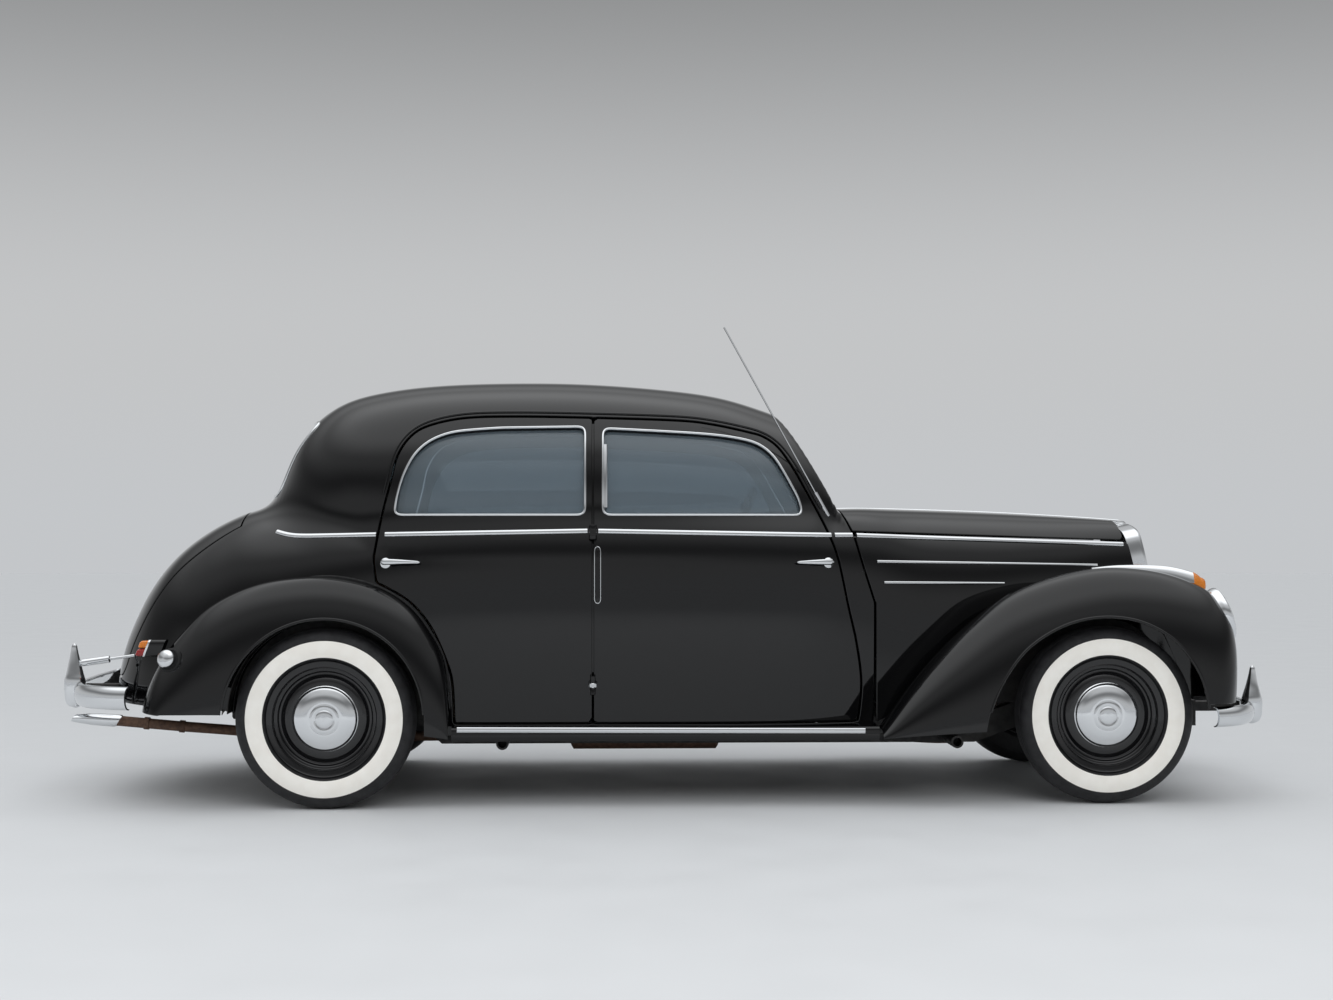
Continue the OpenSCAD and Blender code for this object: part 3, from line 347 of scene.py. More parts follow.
def walnut_veneer():
    """Lacquered walnut: brown bands along the car's width, about 13 mm apart, under clear lacquer."""
    made = Finish("lacquered_walnut", "#5a3a24", 0.25, Coat_Weight=0.7)
    made.shade(made.stripes("Z", 23.81, 5.0, 3.0), "#432a19", "#6d4a30", 0.0, 1.0)
    return made


def black_bakelite():
    """Moulded phenolic: black, smooth, faint flow marks."""
    made = Finish("black_bakelite", "#121213", 0.22)
    made.vary(18, 0.15, 0.32)
    return made


def seal_rubber():
    """Extruded rubber seal: dull black."""
    made = Finish("seal_rubber", "#0f0f10", 0.7)
    made.vary(10, 0.6, 0.8)
    return made


# Each finish, and the slot of the pieces that it covers first
FINISHES = {
    "paint": (gloss_black_enamel, "body_paint"),
    "chrome": (chromed_steel, "chrome"),
    "glass": (window_glass, "glass"),
    "lens": (fluted_lens_glass, "glass"),
    "amber": (amber_lens, "lamp_red"),
    "ruby": (ruby_lens, "lamp_red"),
    "rubber": (tyre_rubber, "tyre"),
    "white_rubber": (white_rubber, "tyre"),
    "wheel": (wheel_enamel, "wheel_black"),
    "chassis": (chassis_paint, "chassis_black"),
    "rust": (rusted_steel, "exhaust_steel"),
    "leather": (seat_leather, "seat_leather"),
    "lining": (wool_lining, "seat_leather"),
    "bakelite": (black_bakelite, "control_black"),
    "seal": (seal_rubber, "body_paint"),
    "iron": (cast_iron, None),
    "walnut": (walnut_veneer, None),
}
made_finishes = {}


def finish(name):
    """The material of that finish, made the first time that it is asked for."""
    if name not in made_finishes:
        made_finishes[name] = FINISHES[name][0]().material
    return made_finishes[name]


def sizes():
    return bpy.context.scene.saloon_sizes


def colours():
    return bpy.context.scene.saloon_colours


def mm(name):
    """A size from the panel, in millimetres."""
    return getattr(sizes(), name) / MM


# Surfaces as arrays


def unit(v):
    return v / np.maximum(np.linalg.norm(v, axis=-1, keepdims=True), 1e-9)


def along(rows, t):
    """Points of the curve through all rows at positions t, where row k is at t = k. Between two rows it is
    the cubic whose slope at each row is half the step between that row's neighbours."""
    rows = np.asarray(rows, float)
    last = len(rows) - 1
    i = np.clip(t.astype(int), 0, last - 1)
    u = (t - i)[:, None]
    a, b, c, d = rows[np.maximum(i - 1, 0)], rows[i], rows[i + 1], rows[np.minimum(i + 2, last)]
    return 0.5 * (2 * b + (c - a) * u + (2 * a - 5 * b + 4 * c - d) * u ** 2
                  + (3 * b - a - 3 * c + d) * u ** 3)


def evenly(rows, step, columns=None, rounds=0):
    """Rows carried along their curve, about step apart as measured over the given columns. Each row is then
    drawn towards the mean of its neighbours a number of rounds."""
    rows = np.asarray(rows, float)
    fine = np.linspace(0, len(rows) - 1, 40 * (len(rows) - 1) + 1)
    places = along(rows, fine)[:, columns if columns is not None else slice(None)]
    length = np.concatenate([[0], np.cumsum(np.linalg.norm(np.diff(places, axis=0), axis=1))])
    count = max(int(length[-1] / step), 3) + 1
    made = along(rows, np.interp(np.linspace(0, length[-1], count), length, fine))
    for _ in range(rounds):
        made[1:-1] += 0.5 * ((made[:-2] + made[2:]) / 2 - made[1:-1])
    return made


def symmetric(rows):
    """Rows of base x, base z, crown x, crown z, half width, roundness as arches about the middle plane."""
    r = np.array(rows, float)
    return np.column_stack([r[:, :4], 0 * r[:, 0], r[:, 4], r[:, 4], r[:, 5]])


def sided(rows, outer):
    """Rows of base x, base z, crown x, crown z, crest in from the outer face, inner half width, roundness."""
    r = np.array(rows, float)
    return np.column_stack([r[:, :4], r[:, 4] - outer, r[:, 4], r[:, 5], r[:, 6]])


def from_origin(x, z, rows):
    """Rows whose first four columns are offsets from x, z, x and z."""
    rows = np.array(rows, float)
    rows[:, :4] += [x, z, x, z]
    return rows


def arch(rows, angles, tuck=0.0):
    """A grid of arches, one for each row, as points (row, angle, 3).
    The arch is |y / half|^n + (v / tall)^n = 1, where v is the way up from its base line to its crown, taken
    at an angle from the right foot to the left one. tuck draws the foot in by (1 - v / tall)^2."""
    xb, zb, xc, zc, yc, right, left, n = (column[:, None] for column in rows.T)
    c, s = np.cos(angles), np.sin(angles)
    r = (np.abs(c) ** n + np.maximum(s, 0) ** n) ** (-1 / n)
    v = r * np.maximum(s, 0)
    half = np.where(c > 0, right, left) - tuck * np.maximum(0, 1 - v) ** 2
    return np.stack([xb + (xc - xb) * v, yc - r * c * half, zb + (zc - zb) * v], -1)


def depth(rows, points, tuck=0.0, ends=True):
    """How far points lie outside the solid through all arches, in mm, less than zero inside it.
    The point's own arch is blended from the two whose planes it lies between. Its distance is the way along
    the ray from the middle of that arch's base line, past the arch."""
    if rows[0, 0] < rows[-1, 0]:
        rows = rows[::-1]
    xb, zb = rows[:, 0], rows[:, 1]
    rise = rows[:, 2:4] - rows[:, :2]
    tall = np.linalg.norm(rise, axis=1)
    ahead = ((points[:, 0, None] - xb) * rise[:, 1] - (points[:, 2, None] - zb) * rise[:, 0]) / tall
    k = np.clip((ahead < 0).sum(1) - 1, 0, len(rows) - 2)
    pick = np.arange(len(points))
    a, b = ahead[pick, k], ahead[pick, k + 1]
    t = np.clip(a / np.where(np.abs(a - b) < 1e-9, 1e-9, a - b), 0, 1)
    row = rows[k] + t[:, None] * (rows[k + 1] - rows[k])
    rise = row[:, 2:4] - row[:, :2]
    tall = np.linalg.norm(rise, axis=1)
    v = ((points[:, 0] - row[:, 0]) * rise[:, 0] + (points[:, 2] - row[:, 1]) * rise[:, 1]) / tall
    y = points[:, 1] - row[:, 4]
    half = np.where(y < 0, row[:, 5], row[:, 6]) - tuck * np.maximum(0, 1 - v / tall) ** 2
    n = row[:, 7]
    q = ((np.abs(y) / half) ** n + (np.maximum(v, 0) / tall) ** n) ** (1 / n)
    made = np.maximum(np.hypot(y, v) * (1 - 1 / np.maximum(q, 1e-4)), -v)
    if ends:
        made = np.maximum(made, np.maximum(ahead[:, 0], -ahead[:, -1]))
    return made


def merge(a, b, radius):
    """The smaller of two depths, with a fillet of about that radius where they meet."""
    return np.minimum(a, b) - np.maximum(radius - np.abs(a - b), 0) ** 2 / (4 * radius)


def slope(field, points):
    """Direction in which a depth grows fastest, from steps of half a millimetre each way."""
    made = np.empty_like(points)
    for axis, step in enumerate(np.eye(3) * 0.5):
        made[:, axis] = field(points + step) - field(points - step)
    return unit(made)


def reach(field, start, way, most):
    """The points where rays from inside a solid leave it, found by halving the ray."""
    low, high = np.zeros(len(start)), np.full(len(start), float(most))
    for _ in range(20):
        half = (low + high) / 2
        inside = field(start + way * half[:, None]) < 0
        low, high = np.where(inside, half, low), np.where(inside, high, half)
    return start + way * ((low + high) / 2)[:, None]


def outline_depth(points, outline):
    """Distance from points to a closed flat outline, less than zero inside, by its nearest edge."""
    a = outline
    b = np.roll(outline, -1, axis=0)
    made = np.empty(len(points))
    for part in np.array_split(np.arange(len(points)), max(1, len(points) // 20000)):
        p = points[part][:, None]
        edge = b - a
        t = np.clip(((p - a) * edge).sum(-1) / np.maximum((edge ** 2).sum(-1), 1e-9), 0, 1)
        far = np.linalg.norm(p - a - t[..., None] * edge, axis=-1).min(1)
        spans = (a[:, 1] > p[..., 1]) != (b[:, 1] > p[..., 1])
        lift = np.where(np.abs(edge[:, 1]) < 1e-9, 1e-9, edge[:, 1])
        left = p[..., 0] < a[:, 0] + (p[..., 1] - a[:, 1]) / lift * edge[:, 0]
        made[part] = np.where((spans & left).sum(1) % 2 == 1, -far, far)
    return made


def soft_outline(points, radius, step=5.0):
    """A closed outline with rounded corners: points step apart, each a weighted mean of its stretch."""
    ring = np.vstack([points, points[:1]])
    length = np.concatenate([[0], np.cumsum(np.linalg.norm(np.diff(ring, axis=0), axis=1))])
    count = int(length[-1] / step)
    at = np.linspace(0, length[-1], count, endpoint=False)
    even = np.column_stack([np.interp(at, length, ring[:, k]) for k in range(2)])
    half = max(int(radius / step), 1)
    weights = 1 + np.cos(np.pi * np.arange(-half, half + 1) / (half + 1))
    return sum(w * np.roll(even, k - half, axis=0) for k, w in enumerate(weights)) / weights.sum()


def round_box(p, half, radius):
    """Distance from flat points about the origin to a rectangle with rounded corners."""
    q = np.abs(p) - (np.array(half) - radius)
    return np.linalg.norm(np.maximum(q, 0), axis=-1) + np.minimum(q.max(-1), 0) - radius


# Forms: points, lists of faces by corner count, and for each list corner normals, finish numbers, map places


def form(points, faces, normals=None, kinds=None, places=None):
    faces = [np.asarray(f, int) for f in faces if len(f)]
    kinds = kinds or [np.zeros(len(f), int) for f in faces]
    points = np.asarray(points, float)
    return {"points": points, "faces": faces, "normals": normals, "kinds": kinds, "places": places}


def grid_faces(rows, columns, wrap=False):
    """Quads of a grid of points, closed in its columns where wrap is set."""
    i = np.arange(rows * columns).reshape(rows, columns)
    right = np.roll(i, -1, axis=1)
    if not wrap:
        i, right = i[:, :-1], right[:, :-1]
    return np.stack([i[:-1], i[1:], right[1:], right[:-1]], -1).reshape(-1, 4)


def volume(points, faces):
    """Signed volume inside faces: the sum over triangles of a corner dot the others' cross product, by 6."""
    total = 0.0
    for f in faces:
        for k in range(1, f.shape[1] - 1):
            a, b, c = points[f[:, 0]], points[f[:, k]], points[f[:, k + 1]]
            total += np.einsum("ij,ij->", a, np.cross(b, c)) / 6
    return total


def turned_round(shape):
    """The form with its faces turned to the other side."""
    made = dict(shape, faces=[f[:, ::-1] for f in shape["faces"]])
    for key in ("normals", "places"):
        if shape[key]:
            made[key] = [n[:, ::-1] for n in shape[key]]
    return made


def outward(shape):
    """A closed form with its faces outwards."""
    return turned_round(shape) if volume(shape["points"], shape["faces"]) < 0 else shape


def mirrored(shape):
    """The form on the other side of the car."""
    flip = np.array([1, -1, 1])
    made = dict(shape, points=shape["points"] * flip)
    if shape["normals"]:
        made["normals"] = [n * flip for n in shape["normals"]]
    return turned_round(made)


def joined(*shapes):
    """Several forms as one."""
    faces, kinds, places, start = [], [], [], 0
    for s in shapes:
        faces += [f + start for f in s["faces"]]
        kinds += s["kinds"]
        places += s["places"] or [np.zeros(f.shape + (2,)) for f in s["faces"]]
        start += len(s["points"])
    return form(np.vstack([s["points"] for s in shapes]), faces, None, kinds, places)


def piece(name, shape, finishes, body="car_body", stands_for=(), slot=None, sharp=34):
    """Puts a form into a mesh object that rides on a body. finishes names its finishes in their order.
    slot is not used."""
    labels = finishes.split()
    mesh = bpy.data.meshes.new(name)
    points, faces = shape["points"], shape["faces"]
    corners = np.concatenate([f.ravel() for f in faces])
    counts = np.concatenate([np.full(len(f), f.shape[1]) for f in faces])
    mesh.vertices.add(len(points))
    mesh.vertices.foreach_set("co", (points * MM).ravel())
    mesh.loops.add(len(corners))
    mesh.loops.foreach_set("vertex_index", corners.astype(np.int32))
    mesh.polygons.add(len(counts))
    mesh.polygons.foreach_set("loop_start", (np.cumsum(counts) - counts).astype(np.int32))
    mesh.polygons.foreach_set("material_index", np.concatenate(shape["kinds"]).astype(np.int32))
    if shape["places"]:
        layer = mesh.uv_layers.new(name="surface")
        layer.data.foreach_set("uv", np.concatenate([p.reshape(-1, 2) for p in shape["places"]]).ravel())
    mesh.update(calc_edges=True)
    mesh.shade_smooth()
    if shape["normals"]:
        mesh.normals_split_custom_set(np.concatenate([n.reshape(-1, 3) for n in shape["normals"]]))
    else:
        mesh.set_sharp_from_angle(angle=math.radians(sharp))
    for label in labels:
        mesh.materials.append(finish(label))
    made = bpy.data.objects.new(name, mesh)
    bpy.context.scene.collection.objects.link(made)
    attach(made, body)
    if stands_for:
        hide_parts(*stands_for)
    return made


def pair(name, shape, finishes, body="car_body", stands_for="", **settings):
    """A right-hand form and its mirror image. A moving body and stands_for take the side at their end."""
    made = []
    for side, part in (("right", shape), ("left", mirrored(shape))):
        rides_on = body if body == "car_body" else f"{body}_{side}"
        nodes = (f"{stands_for}_{side}",) if stands_for else ()
        made.append(piece(f"{name}_{side}", part, finishes, rides_on, nodes, **settings))
    return made


def dress(label, *nodes):
    """Gives CAD nodes that stay in view their finish."""
    for node in nodes:
        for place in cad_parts[node].material_slots:
            place.material = finish(label)


def points_at(x, y, z):
    """Points from coordinates that are arrays or numbers."""
    return np.column_stack(np.broadcast_arrays(*(np.asarray(c, float) for c in (x, y, z))))


def stacked(points):
    """A closed form through rings of points (ring, place, 3), with a flat face at each end."""
    rows, columns = points.shape[:2]
    ends = np.stack([np.arange(columns)[::-1], np.arange(columns) + (rows - 1) * columns])
    return outward(form(points.reshape(-1, 3), [grid_faces(rows, columns, True), ends]))


def sweep(path, side, up, outline, closed=False):
    """An outline carried along a path: point = path + side * u + up * v. side and up are one direction or one
    for each point. Open ends are closed with flat caps."""
    u, v = np.asarray(outline, float).T
    side, up = np.broadcast_to(side, path.shape), np.broadcast_to(up, path.shape)
    points = path[:, None] + side[:, None] * u[:, None] + up[:, None] * v[:, None]
    if not closed:
        return stacked(points)
    rows, columns = points.shape[:2]
    faces = grid_faces(rows + 1, columns, True) % (rows * columns)
    return outward(form(points.reshape(-1, 3), [faces]))


def both_ways(half):
    """A profile given up to its middle, with its mirror image after it."""
    return half + [(-h, r) for h, r in half[::-1]]


def turn(profile, place, axis, segments=96, kinds=None):
    """A profile of height along the axis and radius, turned about the axis. Its map runs round and along it.
    A profile that doesn't begin and end on the axis is closed from its end to its start."""
    h, r = np.asarray(profile, float).T
    axis = unit(np.array(axis, float))
    first = unit(np.cross(axis, UP if abs(axis[2]) < 0.9 else AHEAD))
    second = np.cross(axis, first)
    a = np.linspace(0, 2 * np.pi, segments, endpoint=False)
    ring = np.cos(a)[:, None] * first + np.sin(a)[:, None] * second
    points = np.array(place) + h[:, None, None] * axis + r[:, None, None] * ring
    rows = len(h)
    faces = grid_faces(rows, segments, True)
    way = np.concatenate([[0], np.cumsum(np.hypot(np.diff(h), np.diff(r)))]) / 1000
    i, j = np.divmod(np.arange((rows - 1) * segments), segments)
    turns = np.stack([j, j, j + 1, j + 1], -1) / segments
    places = np.stack([turns, np.stack([way[i], way[i + 1], way[i + 1], way[i]], -1)], -1)
    face_kinds = np.repeat(np.zeros(rows - 1, int) if kinds is None else kinds, segments)
    low = np.arange(segments)
    high = low + (rows - 1) * segments
    if r[0] < 1 and r[-1] < 1:
        last = np.stack([low[::-1], high])
    else:
        last = np.stack([high, low, np.roll(low, -1), np.roll(high, -1)], -1)
    return outward(form(points.reshape(-1, 3), [faces, last], None, [face_kinds, np.zeros(len(last), int)],
                        [places, np.zeros(last.shape + (2,))]))


def trim(data, quads, value):
    """Keeps the part of a grid where value is below zero. data holds a point and its normal in each row. A
    quad that the line crosses becomes two triangles, each cut where the value between its corners is zero."""
    keep = value < 0
    number = keep[quads].sum(1)
    whole = quads[number == 4]
    split = quads[(number > 0) & (number < 4)]
    tris = np.vstack([split[:, [0, 1, 2]], split[:, [0, 2, 3]]])
    number = keep[tris].sum(1)
    full = tris[number == 3]
    one, two = tris[number == 1], tris[number == 2]
    one = one[np.arange(len(one))[:, None], (keep[one].argmax(1)[:, None] + np.arange(3)) % 3]
    two = two[np.arange(len(two))[:, None], ((~keep[two]).argmax(1)[:, None] + np.arange(3)) % 3]
    edges = np.vstack([one[:, [0, 1]], one[:, [0, 2]], two[:, [0, 1]], two[:, [0, 2]]])
    found, where = np.unique(np.sort(edges, axis=1), axis=0, return_inverse=True)
    a, b = value[found[:, 0]], value[found[:, 1]]
    t = np.clip(a / (a - b), 0.02, 0.98)[:, None]
    cuts = data[found[:, 0]] * (1 - t) + data[found[:, 1]] * t
    where = where.ravel() + len(data)
    c = np.split(where, np.cumsum([len(one), len(one), len(two)]))
    corner = np.column_stack([one[:, 0], c[0], c[1]])
    strip = np.column_stack([c[2], two[:, 1], two[:, 2], c[3]])
    faces4, faces3 = np.vstack([whole, strip]), np.vstack([full, corner])
    used, new = np.unique(np.concatenate([faces4.ravel(), faces3.ravel()]), return_inverse=True)
    new = new.ravel()
    return (np.vstack([data, cuts])[used], new[:faces4.size].reshape(-1, 4), new[faces4.size:].reshape(-1, 3))


def panel(skin, quads, cut, thick, edge=3.0, inner=0):
    """A sheet of metal with rounded edges. The outer surface is the part of a skin where cut, a distance, is
    below zero. At its edge it turns down over a quarter round, and the inner surface lies thick below it
    along the normal. thick is a number or gives one for each point. inner is the inner surface's finish."""
    data, faces4, faces3 = trim(skin, quads, cut(skin[:, :3]) + edge)
    points, normals = data[:, :3], unit(data[:, 3:6])
    deep = thick(points) if callable(thick) else np.full(len(points), float(thick))
    sides = np.vstack([faces[:, [k, (k + 1) % corners]] for faces, corners in ((faces4, 4), (faces3, 3))
                       for k in range(corners)])
    _, where, times = np.unique(np.sort(sides, axis=1), axis=0, return_inverse=True, return_counts=True)
    rim_edges = sides[times[where.ravel()] == 1]
    rim, number = np.unique(rim_edges, return_inverse=True)
    i, j = number.reshape(-1, 2).T
    way = slope(cut, points[rim])
    n = normals[rim]
    way = unit(way - n * (way * n).sum(1, keepdims=True))
    free = np.abs(cut(points[rim]) + edge) > 2.5
    way[free] = 0
    step = edge * way
    count, round_count = len(points), len(rim)
    ring1 = points[rim] + 0.7 * step - 0.3 * edge * n
    ring2 = points[rim] + step - edge * n
    under = points - normals * deep[:, None]
    under[rim] = points[rim] + step - n * np.maximum(deep[rim], edge + 0.5)[:, None]
    at1 = count + np.arange(round_count)
    at2 = at1 + round_count
    at3 = count + 2 * round_count
    band0 = np.column_stack([rim[j], rim[i], at1[i], at1[j]])
    band1 = np.column_stack([at1[j], at1[i], at2[i], at2[j]])
    band2 = np.column_stack([at2[j], at2[i], at3 + rim[i], at3 + rim[j]])
    tilt = unit(n + np.where(free[:, None], 0.0001, way))
    side = np.where(free[:, None], tilt, way)
    all_points = np.vstack([points, ring1, ring2, under])
    faces = [faces4, faces3, np.vstack([band0, band1]), band2, at3 + faces4[:, ::-1], at3 + faces3[:, ::-1]]
    corner = np.vstack([normals, tilt, side, -normals])
    wall = np.stack([side[j], side[i], side[i], side[j]], 1)
    made = [corner[faces[0]], corner[faces[1]], corner[faces[2]], wall, corner[faces[4]], corner[faces[5]]]
    kinds = [np.full(len(f), inner if k > 3 else 0) for k, f in enumerate(faces)]
    pick = [k for k, f in enumerate(faces) if len(f)]
    shape = form(all_points, [faces[k] for k in pick], [made[k] for k in pick], [kinds[k] for k in pick])
    return outward(shape)


def skin_of(points):
    """Points and outward normals of a grid, as rows of six numbers, and its quads. The normal is the cross
    product of the two directions of the grid."""
    rows, columns = points.shape[:2]
    normals = unit(np.cross(np.gradient(points, axis=1), np.gradient(points, axis=0)))
    centre = points.reshape(-1, 3).mean(0)
    quads = grid_faces(rows, columns)
    if (normals * (points - centre)).sum() < 0:
        normals = -normals
    data = np.concatenate([points, normals], -1).reshape(-1, 6)
    a, b, c = (data[quads[:, k], :3] for k in range(3))
    if (np.cross(b - a, c - b) * data[quads[:, 0], 3:]).sum() < 0:
        quads = quads[:, ::-1]
    return data, quads


def flat_skin(place, u, v, across, along_v, step=12):
    """A flat grid of points place + a u + b v that faces u x v, as points with normals, and its quads."""
    a = np.linspace(across[0], across[1], int((across[1] - across[0]) / step) + 2)
    b = np.linspace(along_v[0], along_v[1], int((along_v[1] - along_v[0]) / step) + 2)
    u, v = np.array(u, float), np.array(v, float)
    points = np.array(place, float) + a[:, None, None] * u + b[:, None] * v
    data = np.concatenate([points, np.broadcast_to(np.cross(u, v), points.shape)], -1).reshape(-1, 6)
    return data, grid_faces(len(a), len(b))


def sunk(data, deep):
    """A skin moved inwards along its normals."""
    made = data.copy()
    made[:, :3] -= deep * made[:, 3:]
    return made


def meeting(rows, field, low, high):
    """The points, one on each arch between two angles, where a depth goes through zero, found by halving."""
    low, high = np.full(len(rows), float(low)), np.full(len(rows), float(high))
    for _ in range(24):
        half = (low + high) / 2
        inside = field(arch(rows, half[:, None])[:, 0]) < 0
        low, high = np.where(inside, low, half), np.where(inside, half, high)
    return arch(rows, half[:, None])[:, 0]


# Sections of the body, on the same stations as the CAD model.
# Columns: base x, base z, crown x, crown z, half width, roundness
TUB = evenly(symmetric([
    [COWL_X + 65, ROCKER, COWL_X + 65, HOOD_H, BODY - 112, 6],
    [COWL_X - 60, ROCKER, COWL_X - 60, HOOD_H - 4, BODY - 70, 7],
    [COWL_X - 220, ROCKER, COWL_X - 220, WAIST + 44, BODY - 34, 8.5],
    [POST_X + 480, ROCKER, POST_X + 480, WAIST + 42, BODY - 9, 9],
    [POST_X + 130, ROCKER, POST_X + 130, WAIST + 41, BODY - 1, 9],
    [POST_X - 220, ROCKER, POST_X - 220, WAIST + 40, BODY, 9],
    [REAR_X + 395, ROCKER, REAR_X + 395, WAIST + 40, BODY - 5, 8],
    [REAR_X + 95, ROCKER, REAR_X + 95, WAIST + 44, BODY - 16, 6],
    [REAR_X - 135, ROCKER, REAR_X - 155, WAIST + 60, BODY - 38, 4.4],
    [REAR_X - 235, SILL + 8, REAR_X - 315, WAIST + 54, BODY - 58, 3.6],
    [REAR_X - 295, SILL + 14, REAR_X - 435, WAIST + 16, BODY - 74, 3.2],
    [REAR_X - 335, SILL + 22, REAR_X - 555, WAIST - 51, BODY - 88, 3],
    [REAR_X - 360, SILL + 28, REAR_X - 655, WAIST - 134, BODY - 98, 2.9],
    [REAR_X - 375, SILL + 33, REAR_X - 743, WAIST - 246, BODY - 106, 2.8],
    [REAR_X - 385, SILL + 37, REAR_X - 808, WAIST - 376, BODY - 110, 2.8],
    [REAR_X - 390, SILL + 40, REAR_X - 848, WAIST - 486, BODY - 112, 2.8],
    [REAR_X - 395, SILL + 40, REAR_X - 870, SILL + 130, BODY - 113, 2.8],
    [REAR_X - 395, SILL + 40, REAR_X - 876, SILL + 50, BODY - 113, 2.8]]), 16, [2, 3], 6)
GLASS_BASE = WAIST - 85
GLASSHOUSE = evenly(symmetric([
    [COWL_X + 45, GLASS_BASE, COWL_X + 45, ROOF - 252, GLASS - 118, 2.8],
    [COWL_X - 135, GLASS_BASE, COWL_X - 135, ROOF - 172, GLASS - 78, 2.9],
    [COWL_X - 295, GLASS_BASE, COWL_X - 295, ROOF - 112, GLASS - 46, 3],
    [POST_X + 484, GLASS_BASE, POST_X + 484, ROOF - 52, GLASS - 20, 3],
    [POST_X + 234, GLASS_BASE, POST_X + 234, ROOF - 20, GLASS - 5, 3],
    [POST_X - 66, GLASS_BASE, POST_X - 66, ROOF - 1, GLASS, 3],
    [REAR_X + 595, GLASS_BASE, REAR_X + 595, ROOF, GLASS - 2, 3],
    [REAR_X + 365, GLASS_BASE, REAR_X + 345, ROOF - 11, GLASS - 10, 3],
    [REAR_X + 245, GLASS_BASE, REAR_X + 155, ROOF - 34, GLASS - 22, 2.9],
    [REAR_X + 185, GLASS_BASE, REAR_X + 5, ROOF - 72, GLASS - 36, 2.8],
    [REAR_X + 155, GLASS_BASE, REAR_X - 105, ROOF - 142, GLASS - 48, 2.7],
    [REAR_X + 140, GLASS_BASE, REAR_X - 187, ROOF - 235, GLASS - 56, 2.6],
    [REAR_X + 130, GLASS_BASE, REAR_X - 243, ROOF - 352, GLASS - 61, 2.5],
    [REAR_X + 125, GLASS_BASE, REAR_X - 287, ROOF - 470, GLASS - 64, 2.5],
    [REAR_X + 125, GLASS_BASE, REAR_X - 315, GLASS_BASE + 40, GLASS - 64, 2.5]]), 30, [2, 3], 3)
HOOD_BASE = WAIST - 400
HOOD = evenly(symmetric([
    [COWL_X - 85, ROCKER, COWL_X - 85, HOOD_H - 5, BODY - 64, 7.2],
    [COWL_X + 40, SILL - 16, COWL_X + 40, HOOD_H - 1, BODY - 105, 6.4],
    [COWL_X + 190, SILL + 50, COWL_X + 190, HOOD_H - 3, BODY - 152, 4.8],
    [FRONT_X - 500, SILL + 160, FRONT_X - 500, HOOD_H - 9, BODY - 220, 3.9],
    [FRONT_X - 260, SILL + 290, FRONT_X - 260, HOOD_H - 18, BODY - 306, 3.3],
    [FRONT_X - 20, HOOD_BASE, FRONT_X - 20, HOOD_H - 31, BODY - 402, 3.1],
    [FRONT_X + 150, HOOD_BASE, FRONT_X + 150, HOOD_H - 42, BODY - 474, 3.3],
    [FRONT_X + 310, HOOD_BASE, FRONT_X + 270, HOOD_H - 52, BODY - 522, 3.6]]), 18, [2, 3], 3)
# Columns: base x, base z, crown x, crown z, crest in from the outer face, inner half width, roundness
FRONT_WING = evenly(sided(from_origin(FRONT_X, SILL, [
    [-837, -50, -837, -18, 88, 118, 2.2],
    [-730, -45, -730, 124, 126, 122, 2.2],
    [-615, -40, -615, 250, 160, 136, 2.2],
    [-500, -35, -500, 354, 182, 160, 2.2],
    [-350, -30, -350, 462, 196, 166, 2.3],
    [-180, -25, -180, 527, 204, 180, 2.4],
    [0, -15, 0, 563, 208, 206, 2.5],
    [160, 0, 170, 558, 210, 214, 2.5],
    [260, 10, 300, 528, 210, 212, 2.5],
    [305, 15, 400, 478, 210, 206, 2.45],
    [330, 18, 464, 400, 210, 200, 2.4],
    [345, 20, 490, 310, 210, 196, 2.4],
    [355, 20, 495, 200, 210, 194, 2.4],
    [358, 20, 488, 60, 210, 194, 2.4]]), FRONT_FENDER), 16, [2, 3], 4)
REAR_WING = evenly(sided(from_origin(REAR_X, SILL, [
    [445, -45, 445, 60, 105, 40, 2.1],
    [425, -45, 425, 230, 122, 40, 2.2],
    [367, -40, 367, 345, 132, 40, 2.3],
    [295, -30, 295, 434, 138, 44, 2.4],
    [187, -10, 187, 498, 142, 48, 2.5],
    [42, 10, 42, 532, 144, 54, 2.5],
    [-105, 25, -105, 532, 148, 60, 2.5],
    [-262, 34, -265, 504, 160, 66, 2.4],
    [-400, 38, -420, 432, 178, 70, 2.3],
    [-490, 40, -530, 330, 192, 76, 2.2],
    [-540, 42, -605, 230, 200, 80, 2.2],
    [-570, 44, -650, 130, 206, 82, 2.2],
    [-580, 44, -668, 54, 208, 82, 2.2]]), REAR_FENDER), 16, [2, 3], 4)
APRON_HW = FRONT_FENDER - 388
APRON = evenly(symmetric(from_origin(FRONT_X, SILL, [
    [-600, 70, -600, 130, APRON_HW + 210, 9],
    [-480, 180, -480, 240, APRON_HW + 210, 9],
    [-350, 280, -350, 340, APRON_HW + 190, 9],
    [-180, 342, -180, 402, APRON_HW + 160, 9],
    [0, 356, 0, 416, APRON_HW + 110, 9],
    [150, 340, 150, 408, APRON_HW + 70, 8],
    [240, 290, 260, 376, APRON_HW + 30, 6],
    [290, 180, 335, 305, APRON_HW + 5, 4.4],
    [330, 64, 395, 225, APRON_HW, 3.4],
    [347, 64, 425, 145, APRON_HW, 3],
    [351, 64, 432, 84, APRON_HW, 3]])), 16, [2, 3], 3)


# Outlines in side view, as x and z
def side_curve(points, step=8):
    return along(np.array(points, float), np.linspace(0, len(points) - 1, step * (len(points) - 1) + 1))


def from_post(points):
    """Points given as distance from the door post and drop below the roof."""
    return [(POST_X + x, ROOF - drop) for x, drop in points]


